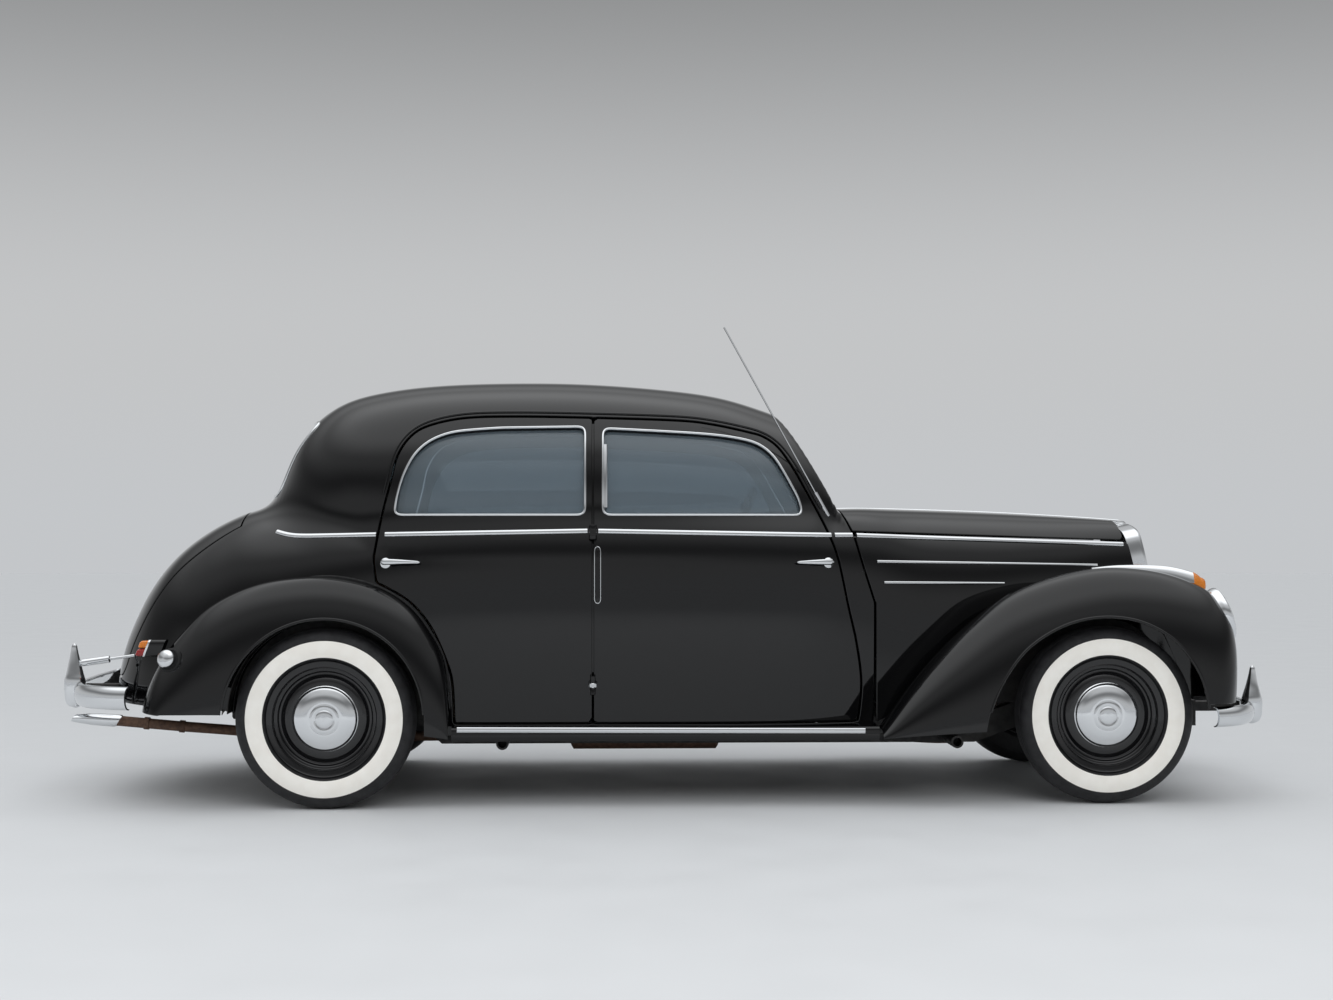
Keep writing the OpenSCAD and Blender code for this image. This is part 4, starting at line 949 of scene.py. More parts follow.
FRONT_DOOR = soft_outline(np.vstack([[(POST_X, SILL)], side_curve(from_post([
    (0, 159), (319, 168), (451, 183), (584, 211), (637, 227), (690, 267), (743, 346), (783, 419), (830, 505),
    (870, 591)]) + [(POST_X + 903, WAIST - 138), (POST_X + 940, WAIST - 310), (POST_X + 972, WAIST - 445),
                    (POST_X + 992, WAIST - 595), (POST_X + 980, WAIST - 737)])]), 12)
REAR_DOOR = soft_outline(np.vstack([[(POST_X, SILL)], side_curve(from_post([
    (0, 159), (-277, 155), (-474, 161), (-605, 190), (-670, 230), (-716, 302), (-740, 400), (-772, 530),
    (-796, 680)])), side_curve([
        (REAR_X + 178, 810), (REAR_X + 205, 800), (REAR_X + 300, 742), (REAR_X + 376, 650),
        (REAR_X + 434, 518), (REAR_X + 452, 440), (REAR_X + 458, 300)])]), 12)
WINDOW_SILL = WAIST + 27
FRONT_WINDOW = soft_outline(np.vstack([
    [(POST_X + 40, WINDOW_SILL), (POST_X + 40, ROOF - 204)],
    side_curve(from_post([(250, 214), (420, 224), (530, 237), (610, 258), (664, 300), (704, 362),
                          (760, 466)])),
    [(POST_X + 770, WINDOW_SILL)]]), 34)
REAR_WINDOW = soft_outline(np.vstack([
    [(POST_X - 32, WINDOW_SILL), (POST_X - 32, ROOF - 198)],
    side_curve(from_post([(-340, 203), (-471, 213), (-537, 225), (-601, 254), (-653, 304), (-692, 382),
                          (-712, 452)])),
    [(POST_X - 722, WINDOW_SILL)]]), 34)
DOORS = (("front_door", FRONT_DOOR, FRONT_WINDOW), ("rear_door", REAR_DOOR, REAR_WINDOW))
FRONT_OPENING = np.array([FRONT_X, AXLE_H]) + side_curve([
    (-470, -105), (-452, 5), (-402, 125), (-310, 245), (-180, 327), (-40, 361), (100, 347), (222, 283),
    (302, 183), (342, 73), (354, -105)])

SCREEN_X, SCREEN_LEAN = COWL_X - 75, math.radians(28.8)
LID_X = REAR_X - 360


def screen_plane(p):
    """Distance ahead of the windscreen's plane."""
    return (p[:, 0] - SCREEN_X) * math.cos(SCREEN_LEAN) + (p[:, 2] - HOOD_H) * math.sin(SCREEN_LEAN)


def glasshouse_depth(p):
    return depth(GLASSHOUSE, p)


def cabin_depth(p, ends=True):
    """Distance outside the cabin: the lower body merged with the glasshouse behind the windscreen."""
    upper = -merge(-glasshouse_depth(p), -screen_plane(p), 16)
    radius = np.interp(p[:, 0], [SCREEN_X - 80, SCREEN_X - 10], [2 * mm("waist_fillet"), 26])
    return merge(depth(TUB, p, TUCK, ends), upper, radius)


def tub_depth(p):
    return depth(TUB, p, TUCK)


def hood_depth(p):
    return depth(HOOD, p)


def seam_plane(p):
    """Height above the line where the hood halves meet the hood sides."""
    return p[:, 2] - (WAIST - 37) + (p[:, 0] - COWL_X + 52) * math.tan(math.radians(1.76))


def cowl_seam(p):
    """Distance ahead of the slanting line, in side view, where the hood meets the cowl."""
    line = np.interp(p[:, 2], [WAIST - 300, WAIST - 291, WAIST - 172, WAIST - 53, WAIST + 24, HOOD_H + 14],
                     [COWL_X + 66, COWL_X + 62, COWL_X + 23, COWL_X - 11, COWL_X - 45, COWL_X - 60])
    return p[:, 0] - line


SHELL_LEAN = math.radians(11.6)
SHELL_FOOT = np.array([FRONT_X + 388, 0, SILL + 118])
SHELL_OUT = np.array([math.cos(SHELL_LEAN), 0, math.sin(SHELL_LEAN)])
SHELL_UP = np.array([-math.sin(SHELL_LEAN), 0, math.cos(SHELL_LEAN)])
SHELL_H = (HOOD_H - 57 - SILL - 118) / math.cos(SHELL_LEAN)
SHELL_DEPTH = 66


def ahead_of_shell(p):
    """Distance ahead of the radiator shell's front face."""
    return (p - SHELL_FOOT) @ SHELL_OUT


def screen_depth(p):
    """Distance outside the windscreen's opening: the glasshouse drawn in by the pillars, above the cowl."""
    return -merge(-(glasshouse_depth(p) + PILLAR), -(HOOD_H + 16 - p[:, 2]), 50)


def back_window_depth(p):
    flat = round_box(p[:, 1:] - np.array([0, BACK_Z]), BACK_HALF, 80)
    return np.maximum(flat, p[:, 0] - REAR_X + 60)


def lid_depth(p):
    flat = round_box(p[:, 1:] - np.array([0, SILL + 652]), (440, 500), 70)
    return np.maximum(flat, p[:, 0] - LID_X)


def rear_room_depth(p):
    """Distance outside the room for a rear wheel."""
    round_part = np.hypot(p[:, 0] - REAR_X, np.maximum(p[:, 2] - AXLE_H, 0)) - REAR_ROOM + 8
    return np.maximum(round_part, 605 - np.abs(p[:, 1]))


def shell_cut(p):
    """Above zero where the body shell has an opening."""
    flat = p[:, [0, 2]]
    gap = mm("gap") / 2
    door = np.minimum(outline_depth(flat, FRONT_DOOR), outline_depth(flat, REAR_DOOR))
    holes = [gap - door, -screen_depth(p), -back_window_depth(p), gap - lid_depth(p), -rear_room_depth(p),
             cowl_seam(p) + gap]
    return np.max(holes, axis=0)


def door_cut(outline, window):
    """Above zero outside a door's outline and in its window."""
    def cut(p):
        flat = p[:, [0, 2]]
        inside = np.maximum(outline_depth(flat, outline) + mm("gap") / 2, -outline_depth(flat, window))
        return np.maximum(inside, p[:, 1] + 200)
    return cut


def cabin_skin():
    """The cabin's outer surface on a grid, whole and its right half. Each station of the lower body is a
    plane across the car. In it, rays fan out from the middle and stop where the cabin's depth is zero.
    Their angles are then spread so that the points lie evenly along the section, closer together at the
    waist."""
    rows = TUB[:-1]
    rise = rows[:, 2:4] - rows[:, :2]
    tall = np.linalg.norm(rise, axis=1, keepdims=True)
    up = np.column_stack([rise[:, 0], 0 * rise[:, 0], rise[:, 1]]) / tall
    middle_v = 0.45 * tall
    start = np.column_stack([rows[:, 0], 0 * rows[:, 0], rows[:, 1]]) + up * middle_v
    lowest = -np.arctan2(middle_v[:, 0], rows[:, 5] - TUCK) + 0.002

    def fan(angles):
        way = -np.cos(angles)[..., None] * ACROSS + np.sin(angles)[..., None] * up[:, None]
        begin = np.broadcast_to(start[:, None], way.shape)
        ends = reach(lambda p: cabin_depth(p, False), begin.reshape(-1, 3), way.reshape(-1, 3), 1500)
        return ends.reshape(way.shape)

    even = lowest[:, None] + (math.pi / 2 - lowest)[:, None] * np.linspace(0, 1, 90)
    rough = fan(even)
    steps = np.linalg.norm(np.diff(rough, axis=1), axis=2)
    near_waist = np.exp(-((rough[:, 1:, 2] - WAIST + 5) / 45) ** 2)
    steps = steps * (1 + 1.2 * near_waist)
    length = np.concatenate([np.zeros((len(rows), 1)), np.cumsum(steps, axis=1)], axis=1)
    share = np.linspace(0, 1, 120)
    angles = np.stack([np.interp(share * l[-1], l, a) for l, a in zip(length, even)])
    angles[1:-1] = (angles[:-2] + 2 * angles[1:-1] + angles[2:]) / 4
    right = fan(angles)
    right[:, -1, 1] = 0
    left = right[:, -2::-1] * np.array([1, -1, 1])
    return np.concatenate([right, left], axis=1), right


def on_side(x, z, field=cabin_depth):
    """Points and normals on the right side of a solid at places in side view."""
    start = points_at(x, -150, z)
    found = reach(field, start, RIGHT, 900)
    return found, slope(field, found)


def on_top(x, y, field, base):
    """Points and normals on top of a solid at places in plan."""
    found = reach(field, points_at(x, y, base), UP, 1200)
    return found, slope(field, found)


def bead_outline(width, height, sunk=2.0, count=9):
    """Half-round section: width across, height out, with its back sunk into what carries it."""
    a = np.linspace(0, np.pi, count)
    arc = np.column_stack([width / 2 * np.cos(a), height * np.sin(a) ** 0.8])
    return np.vstack([[(width / 2, -sunk)], arc, [(-width / 2, -sunk)]])


def lay(path, normals, outline, closed=False):
    """Carries a section along a path on a surface, its height along the surface's normal. Path and normals
    are first drawn a few times towards the mean of their neighbours. An open path's ends stay in place."""
    path, normals = path.copy(), normals.copy()
    for _ in range(6):
        for line in (path, normals):
            mean = (np.roll(line, 1, 0) + np.roll(line, -1, 0)) / 2 - line
            if not closed:
                mean[[0, -1]] = 0
            line += 0.5 * mean
    normals = unit(normals)
    ahead = np.roll(path, -1, 0) - np.roll(path, 1, 0) if closed else np.gradient(path, axis=0)
    side = unit(np.cross(unit(ahead), normals))
    return sweep(path, side, normals, outline, closed)


def ring_outline(half_u, half_v, count=16):
    a = np.linspace(0, 2 * np.pi, count, endpoint=False)
    return np.column_stack([half_u * np.cos(a), half_v * np.sin(a)])


def tube(path, radius, count=14):
    """A round bar along a path. radius may change along it."""
    path = np.asarray(path, float)
    ahead = unit(np.gradient(path, axis=0))
    side = unit(np.cross(ahead, np.array([0.05, 0.02, 1.0])))
    up = np.cross(side, ahead)
    thick = np.broadcast_to(np.asarray(radius, float), (len(path),))[:, None]
    return sweep(path, side * thick, up * thick, ring_outline(1, 1, count))


def rings(centres, half_u, half_v, u, v, power=2.0, count=28):
    """A closed form through rings about centres, |a / half_u|^power + |b / half_v|^power = 1 in the plane of
    u and v."""
    a = np.linspace(0, 2 * np.pi, count, endpoint=False)
    c, s = np.cos(a), np.sin(a)
    r = (np.abs(c) ** power + np.abs(s) ** power) ** (-1 / power)
    across = (np.asarray(half_u)[:, None] * r * c)[..., None] * np.asarray(u)
    along_v = (np.asarray(half_v)[:, None] * r * s)[..., None] * np.asarray(v)
    return stacked(np.asarray(centres, float)[:, None] + across + along_v)


# Operators


class SALOON_OT_stage(Operator):
    """Camera at the photograph's angle, a pale round floor and soft studio light"""

    bl_idname = "saloon.stage"
    bl_label = "Stage"

    def execute(self, context):
        scene = context.scene
        scene.view_settings.view_transform = "Standard"
        lens = bpy.data.cameras.new("camera")
        lens.sensor_width = 36
        lens.lens = 52.88
        lens.shift_y = 0.0263
        camera = bpy.data.objects.new("camera", lens)
        camera.location = (-0.2612, -7.8347, 0.985)
        camera.rotation_euler = (math.radians(90), 0, math.radians(-1.95))
        scene.collection.objects.link(camera)
        scene.camera = camera
        self.floor(scene)
        self.light(scene)
        return {"FINISHED"}

    def floor(self, scene):
        """A round floor 45 m in radius, as rings of points."""
        radii = np.array([0.001, 6, 14, 26, 45])
        a = np.linspace(0, 2 * math.pi, 96, endpoint=False)
        flat = np.zeros((len(radii), len(a)))
        points = np.stack([np.outer(radii, np.cos(a)), np.outer(radii, np.sin(a)), flat], -1)
        mesh = bpy.data.meshes.new("floor")
        mesh.from_pydata(points.reshape(-1, 3).tolist(), [], grid_faces(*flat.shape, True).tolist())
        paint = Finish("painted_studio_floor", "#cdcfd1", 0.6)
        paint.vary(300, 0.55, 0.7)
        mesh.materials.append(paint.material)
        floor = bpy.data.objects.new("floor", mesh)
        scene.collection.objects.link(floor)

    def light(self, scene):
        """A surround that is pale at the horizon, dim above it and bright overhead, and two wide lamps that
        fill in the sides. The surround's level follows the height of the direction, 0 at the horizon and 1
        overhead."""
        world = bpy.data.worlds.new("studio")
        scene.world = world
        world.use_nodes = True
        tree = world.node_tree
        way = add_node(tree, "ShaderNodeTexCoord")
        part = add_node(tree, "ShaderNodeSeparateXYZ", links={"Vector": way.outputs["Generated"]})
        ramp = add_node(tree, "ShaderNodeValToRGB", links={"Fac": part.outputs["Z"]})
        stops = ramp.color_ramp
        stops.interpolation = "EASE"
        stops.elements[0].color = (0.379, 0.39, 0.403, 1.0)
        for at, level in ((0.1, 0.39), (0.34, 0.15), (0.6, 0.4), (0.86, 1.0)):
            stop = stops.elements.new(at)
            stop.color = (level * 0.97, level * 0.985, level, 1.0)
        stops.elements.remove(stops.elements[-1])
        tree.links.new(ramp.outputs[0], tree.nodes["Background"].inputs["Color"])
        tree.nodes["Background"].inputs["Strength"].default_value = 1.45
        for name, place, turn_by, size, power in (
                ("front_side", (1.2, -7.5, 4.4), (58, 0, 8), (7.0, 3.0), 190),
                ("rear_side", (-6.5, -3.5, 3.6), (62, 0, -58), (4.0, 3.0), 70)):
            lamp = bpy.data.lights.new(name, "AREA")
            lamp.shape = "RECTANGLE"
            lamp.size, lamp.size_y = size
            lamp.energy = power
            made = bpy.data.objects.new(name, lamp)
            made.location = place
            made.rotation_euler = [math.radians(t) for t in turn_by]
            made.visible_glossy = False
            scene.collection.objects.link(made)


# Skins of the whole cabin and of its right half, made once by the body and used by doors, lid and windows
skins = {}


class SALOON_OT_body(Operator):
    """Body shell of the cabin and tail with its openings, and the door posts"""

    bl_idname = "saloon.body"
    bl_label = "Body shell"

    def execute(self, context):
        whole, right = cabin_skin()
        skins["cabin"] = skin_of(whole)
        skins["right"] = skin_of(right)
        shape = panel(*skins["cabin"], shell_cut, 20, inner=1)
        piece("body_skin", shape, "paint lining", stands_for=["body_shell"])
        path, normals = on_side(POST_X, np.linspace(SILL + 4, ROOF - 172, 40))
        section = soft_outline([(-24, -22), (24, -22), (24, 0), (-24, 0)], 4, 3.0)
        pillar = lay(path - 17 * normals, normals, section)
        y = np.linspace(0, 62, 10)
        end = np.interp(y, [0, 5, 62], [0.72, 1, 1.25])
        arm = rings(HINGE_LOW + points_at(0, y - 6, 0), 11 * end, 21 * end, AHEAD, UP, 4.0)
        made = pair("door_post", joined(pillar, arm), "paint")
        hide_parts("door_posts")
        return {"FINISHED"}


class SALOON_OT_doors(Operator):
    """Four doors with window openings"""

    bl_idname = "saloon.doors"
    bl_label = "Doors"

    def execute(self, context):
        for name, outline, window in DOORS:
            def thick(p, outline=outline):
                """13 mm along the edge and at the post, 36 mm further in."""
                far = np.minimum(-outline_depth(p[:, [0, 2]], outline) - 12, np.abs(p[:, 0] - POST_X) - 34)
                return 13 + 23 * np.clip(far / 18, 0, 1)

            shape = panel(*skins["right"], door_cut(outline, window), thick, inner=1)
            pair(f"{name}_skin", shape, "paint lining", name, name)
        return {"FINISHED"}


class SALOON_OT_trunk_lid(Operator):
    """Lid of the trunk"""

    bl_idname = "saloon.trunk_lid"
    bl_label = "Trunk lid"

    def execute(self, context):
        shape = panel(*skins["cabin"], lambda p: lid_depth(p) + mm("gap") / 2, 16)
        piece("trunk_lid_skin", shape, "paint", "trunk_lid", ["trunk_lid"])
        return {"FINISHED"}


class SALOON_OT_wings(Operator):
    """Front and rear fenders, front apron, wheel rooms and running boards"""

    bl_idname = "saloon.wings"
    bl_label = "Fenders and boards"

    def execute(self, context):
        angles = np.linspace(0.02, math.pi - 0.02, 72)

        def front_cut(p):
            opening = outline_depth(p[:, [0, 2]], FRONT_OPENING)
            far = p - LAMP_AT
            ring = np.linalg.norm(far - (far @ LAMP_AXIS)[:, None] * LAMP_AXIS, axis=1) - 96
            ring = np.where(far @ LAMP_AXIS > -110, ring, 500)
            under = np.where(p[:, 0] > FRONT_X + 320, SILL + 71 - p[:, 2], -500)
            return np.max([-opening, -ring, under, -tub_depth(p) - SINK, -hood_depth(p) - SINK], axis=0)

        skin = panel(*skin_of(arch(FRONT_WING, angles)), front_cut, SHEET)
        pair("front_fender_skin", skin, "paint", stands_for="front_fender")
        self.lip("front_fender_lip", FRONT_WING, FRONT_OPENING, 208 - FRONT_FENDER)

        def rear_cut(p):
            room = np.hypot(p[:, 0] - REAR_X, np.maximum(p[:, 2] - AXLE_H, 0)) - REAR_ROOM
            return np.maximum(-room, -tub_depth(p) - SINK)

        skin = panel(*skin_of(arch(REAR_WING, angles)), rear_cut, SHEET)
        pair("rear_fender_skin", skin, "paint", stands_for="rear_fender")
        a = np.linspace(math.pi, 0, 60)
        opening = np.column_stack([REAR_X + REAR_ROOM * np.cos(a), AXLE_H + REAR_ROOM * np.sin(a)])
        self.lip("rear_fender_lip", REAR_WING, opening, 148 - REAR_FENDER)
        rows = REAR_WING[(REAR_WING[:, 3] > SILL + 120) & (REAR_WING[:, 2] > REAR_X - 640)]
        welt = meeting(rows, tub_depth, 0.35, math.pi - 0.03)
        pair("rear_fender_welt", tube(evenly(welt, 14, None, 6), 6.5), "seal")

        def apron_cut(p):
            wing = np.minimum(depth(FRONT_WING, p), depth(FRONT_WING, p * np.array([1, -1, 1])))
            behind = np.maximum(np.abs(p[:, 1]) - 175, -ahead_of_shell(p) - 210)
            up = (p - SHELL_FOOT) @ SHELL_UP
            half = np.interp(up, [0, SHELL_H - 130], [185, 217])
            seat = np.max([np.abs(p[:, 1]) - half, -ahead_of_shell(p) - SHELL_DEPTH + 8, -up - 4], axis=0)
            return np.max([-wing - SINK, -hood_depth(p) - SINK, -behind, -seat], axis=0)

        skin = panel(*skin_of(arch(APRON, angles)), apron_cut, SHEET)
        piece("front_apron_skin", skin, "paint", stands_for=["front_apron"])
        self.boards()
        self.wheel_rooms()
        return {"FINISHED"}

    def lip(self, name, rows, opening, inside):
        """A rolled lip: a round bar where the opening, in side view, meets the fender's outer face."""
        start = points_at(opening[:, 0], inside, opening[:, 1])
        start = start[(depth(rows, start) < -20) & (start[:, 2] > SILL + 38)]
        path = reach(lambda p: depth(rows, p), start, RIGHT, 300)
        path[:, 1] += 4
        pair(name, tube(evenly(path, 10), 6), "paint")

    def wheel_rooms(self):
        """Sheets that close the wheel rooms: an upright one by each front wheel, a wall and a hoop by each
        rear wheel."""
        def front_cut(p):
            top = np.interp(p[:, 0], APRON[:, 0], APRON[:, 1]) + 14
            arms = np.minimum(112 - np.abs(p[:, 0] - FRONT_X), SILL + 178 - p[:, 2])
            return np.max([p[:, 2] - top, arms, SILL + 45 - p[:, 2]], axis=0)

        skin = flat_skin((FRONT_X, -392, SILL), AHEAD, UP, (-440, 340), (40, 420))
        pair("front_wheel_apron", panel(*skin, front_cut, *INNER_SHEET), "chassis")

        def rear_cut(p):
            far = np.hypot(p[:, 0] - REAR_X, p[:, 2] - AXLE_H)
            return np.max([far - REAR_ROOM - 2, 165 - far, SILL + 10 - p[:, 2]], axis=0)

        skin = flat_skin((REAR_X, -600, SILL), AHEAD, UP, (-380, 380), (0, 400))
        wall = panel(*skin, rear_cut, *INNER_SHEET)
        a = np.linspace(-0.05, math.pi - 0.036, 60)[:, None]
        y = np.linspace(-600, -712, 8)
        radius = REAR_ROOM + 1
        hoop = np.broadcast_arrays(REAR_X + radius * np.cos(a), y, AXLE_H + radius * np.sin(a))
        band = panel(*skin_of(np.stack(hoop, -1)), lambda p: np.full(len(p), -40.0), *INNER_SHEET)
        pair("rear_wheel_house", joined(wall, band), "chassis")

    def boards(self):
        """Running boards: a rounded step carried from wheel to wheel."""
        path = points_at(np.linspace(REAR_X + 452, COWL_X + 60, 60), -BODY + 12, SILL - 36)
        section = soft_outline([
            (-130, 4), (-20, -24), (36, -24), (44, -8), (42, 20), (34, 28), (-130, 28)], 9, 3.0)
        made = pair("running_board", sweep(path, RIGHT, UP, section), "paint")
        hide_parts("running_boards")


class SALOON_OT_hood(Operator):
    """Hood halves, fixed hood sides, the hinge strip between the halves, and the cowl"""

    bl_idname = "saloon.hood"
    bl_label = "Hood"

    def execute(self, context):
        skin = skin_of(arch(HOOD, np.linspace(0.0, math.pi, 150)))
        gap = mm("gap") / 2

        def half_cut(p):
            front = ahead_of_shell(p) + SHELL_DEPTH + 8
            return np.max([gap - seam_plane(p), p[:, 1] + 9, gap - cowl_seam(p), front], axis=0)

        def side_cut(p):
            front = ahead_of_shell(p) + SHELL_DEPTH - 6
            return np.max([seam_plane(p) + gap, gap - cowl_seam(p), front, p[:, 1] + 50], axis=0)

        pair("hood_skin", panel(*skin, half_cut, 6), "paint", "hood", "hood")
        made = pair("hood_side_skin", panel(*skin, side_cut, 6), "paint")
        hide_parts("hood_sides")
        crest = on_top(np.linspace(COWL_X - 48, FRONT_X + 232, 60), 0, hood_depth, HOOD_BASE + 50)
        strip = lay(*crest, bead_outline(15, 6.5, 3))
        piece("hood_hinge_strip", strip, "chrome", stands_for=["hood_hinge"])
        self.cowl()
        return {"FINISHED"}

    def cowl(self):
        """The ledge that the hood's rear edge lies over, and the sheet between engine and cabin."""
        def ledge_cut(p):
            return np.max([-cowl_seam(p) - 26, p[:, 0] - COWL_X - 64, -seam_plane(p) - 40], axis=0)

        data, quads = skins["cabin"]
        piece("cowl_ledge", panel(sunk(data, 19), quads, ledge_cut, 4, 1.5), "paint")

        def wall_cut(p):
            tunnel = 190 - np.hypot(p[:, 1], p[:, 2] - AXLE_H - 80)
            return np.max([tub_depth(p) + 21, tunnel, SILL + 32 - p[:, 2]], axis=0)

        skin = flat_skin((COWL_X + 30, 0, SILL), ACROSS, UP, (-680, 680), (20, 800))
        piece("bulkhead", panel(*skin, wall_cut, 4, 1.5), "chassis")


class SALOON_OT_windows(Operator):
    """Door panes, windscreen with its wipers, back window and their bright beads"""

    bl_idname = "saloon.windows"
    bl_label = "Windows"

    def execute(self, context):
        data, quads = skins["right"]
        bead = bead_outline(mm("bead_width"), 5)
        for name, _, window in DOORS:
            def pane_cut(p, window=window):
                return np.maximum(outline_depth(p[:, [0, 2]], window) - 5, p[:, 1] + 200)

            pane = panel(sunk(data, PANE_DEPTH), quads, pane_cut, *PANE)
            pair(f"{name}_pane", pane, "glass", name, f"{name}_glass")
            edge = on_side(*(window + 3.5 * self.outward_of(window)).T)
            pair(f"{name}_window_bead", lay(*edge, bead, True), "chrome", name)
        path, normals = on_side(POST_X + 45, np.linspace(WINDOW_SILL + 24, ROOF - 262, 24))
        bar = lay(path - 3 * normals, normals, bead_outline(17, 6, 10))
        pair("front_window_guide", bar, "chrome", "front_door")
        self.screen()
        self.back()
        return {"FINISHED"}

    def outward_of(self, outline):
        """Outward normals of a closed outline in its plane."""
        after = np.roll(outline, -1, 0)
        ahead = unit(after - np.roll(outline, 1, 0))
        area = (outline[:, 0] * after[:, 1] - after[:, 0] * outline[:, 1]).sum()
        return np.column_stack([ahead[:, 1], -ahead[:, 0]]) * np.sign(area)

    def screen(self):
        """A flat pane in the windscreen's plane, its frame, and two wipers at rest on it."""
        up = np.array([-math.sin(SCREEN_LEAN), 0, math.cos(SCREEN_LEAN)])
        ahead = np.array([math.cos(SCREEN_LEAN), 0, math.sin(SCREEN_LEAN)])
        foot = np.array([SCREEN_X, 0, HOOD_H])
        data, quads = flat_skin(foot, ACROSS, up, (-700, 700), (-20, 420), 5)
        pane = panel(sunk(data, PANE_DEPTH), quads, lambda p: screen_depth(p) - 6, *PANE)
        piece("windscreen_pane", pane, "glass", stands_for=["windscreen"])
        bead = panel(data, quads, lambda p: np.abs(screen_depth(p)) - 7, 10, 2.5)
        piece("windscreen_bead", dict(bead, points=bead["points"] + 3 * ahead), "chrome")
        axes = np.array([ACROSS, up, ahead])
        boss = [(-8, 0.1), (-8, 11), (6, 11), (10, 8), (12, 0.1)]
        arms, blades = [], []
        for y in (-235, 150):
            t = np.linspace(0, 1, 12)[:, None]
            root, tip = np.array([y, 6.0, 2.0]), np.array([y + 165, 96.0, 4.0])
            line = root + (tip - root) * t + np.array([0, 0, 9]) * np.sin(np.pi * t)
            arms.append(tube(foot + line @ axes, 3.2, 10))
            arms.append(turn(boss, foot + y * ACROSS + 6 * up, ahead, 24))
            line = tip + np.array([0.88, 0.48, 0]) * np.linspace(-120, 110, 12)[:, None]
            line[:, 2] = -1
            blades.append(tube(foot + line @ axes, 4, 8))
        piece("wiper_arms", joined(*arms), "chrome")
        piece("wiper_blades", joined(*blades), "seal", slot="control_black")

    def back(self):
        """The back window's pane and its bead."""
        data, quads = skins["cabin"]
        pane = panel(sunk(data, PANE_DEPTH), quads, lambda p: back_window_depth(p) - 5, *PANE)
        piece("back_window_pane", pane, "glass", stands_for=["rear_window"])
        corners = (BACK_HALF + 2) * np.array([(1, 1), (-1, 1), (-1, -1), (1, -1)])
        y, z = soft_outline(corners, 92, 9.0).T
        path = reach(cabin_depth, points_at(REAR_X + 100, y, z + BACK_Z), -AHEAD, 700)
        bead = lay(path, slope(cabin_depth, path), bead_outline(15, 6, 6), True)
        piece("back_window_bead", bead, "chrome")


class SALOON_OT_strips(Operator):
    """Bright strips along the waist, hood and sill, and the drip rails"""

    bl_idname = "saloon.strips"
    bl_label = "Bright strips"

    def execute(self, context):
        wide, thin = bead_outline(mm("strip_width"), 7), bead_outline(11, 5)
        waist_x, waist_z = np.array([
            (-1458, 999), (-1404, 983), (-1343, 981), (-1056, 987), (-297, 1000), (577, 985)]).T
        for name, body, start, end in (
                ("waist_strip_front", "front_door", POST_X + 20, 590),
                ("waist_strip_rear", "rear_door", -1042, POST_X - 20),
                ("waist_strip_tail", "car_body", -1452, -1075),
                ("waist_strip_cowl", "car_body", 604, COWL_X - 20)):
            x = np.linspace(start, end, max(int(abs(end - start) / 14), 6))
            pair(name, lay(*on_side(x, np.interp(x, waist_x, waist_z)), wide), "chrome", body)
        for name, line, section in (
                ("hood_strip", [(COWL_X - 6, 984), (1186, 968), (1790, 949)], wide),
                ("hood_side_strip_upper", [(763, 887), (1671, 868)], thin),
                ("hood_side_strip_lower", [(789, 809), (1273, 801)], thin)):
            line_x, line_z = np.array(line, float).T
            x = np.linspace(line_x[0] + 3, line_x[-1], 60)
            pair(name, lay(*on_side(x, np.interp(x, line_x, line_z), hood_depth), section), "chrome")
        self.drip_rail()
        ends = [-775, 700]
        x = np.linspace(*ends, 90)
        path = points_at(x, -BODY - 30, np.interp(x, ends, [284, 276]))
        pair("sill_strip", lay(path, np.tile(RIGHT, (90, 1)), bead_outline(20, 6)), "chrome")
        return {"FINISHED"}

    def drip_rail(self):
        """A gutter 16 mm above the doors: a half-round along their upper edge, moved out by its normal."""
        line = evenly(from_post([
            (-752, 450), (-740, 400), (-716, 302), (-670, 230), (-605, 190), (-474, 161), (-277, 155),
            (0, 159), (319, 168), (451, 183), (584, 211), (637, 227), (690, 267), (743, 346), (783, 419),
            (830, 505)]), 12, None, 6)
        ahead = unit(np.gradient(line, axis=0))
        line = line + 16 * np.column_stack([-ahead[:, 1], ahead[:, 0]])
        pair("drip_rail", lay(*on_side(*line.T), bead_outline(9, 6)), "paint")


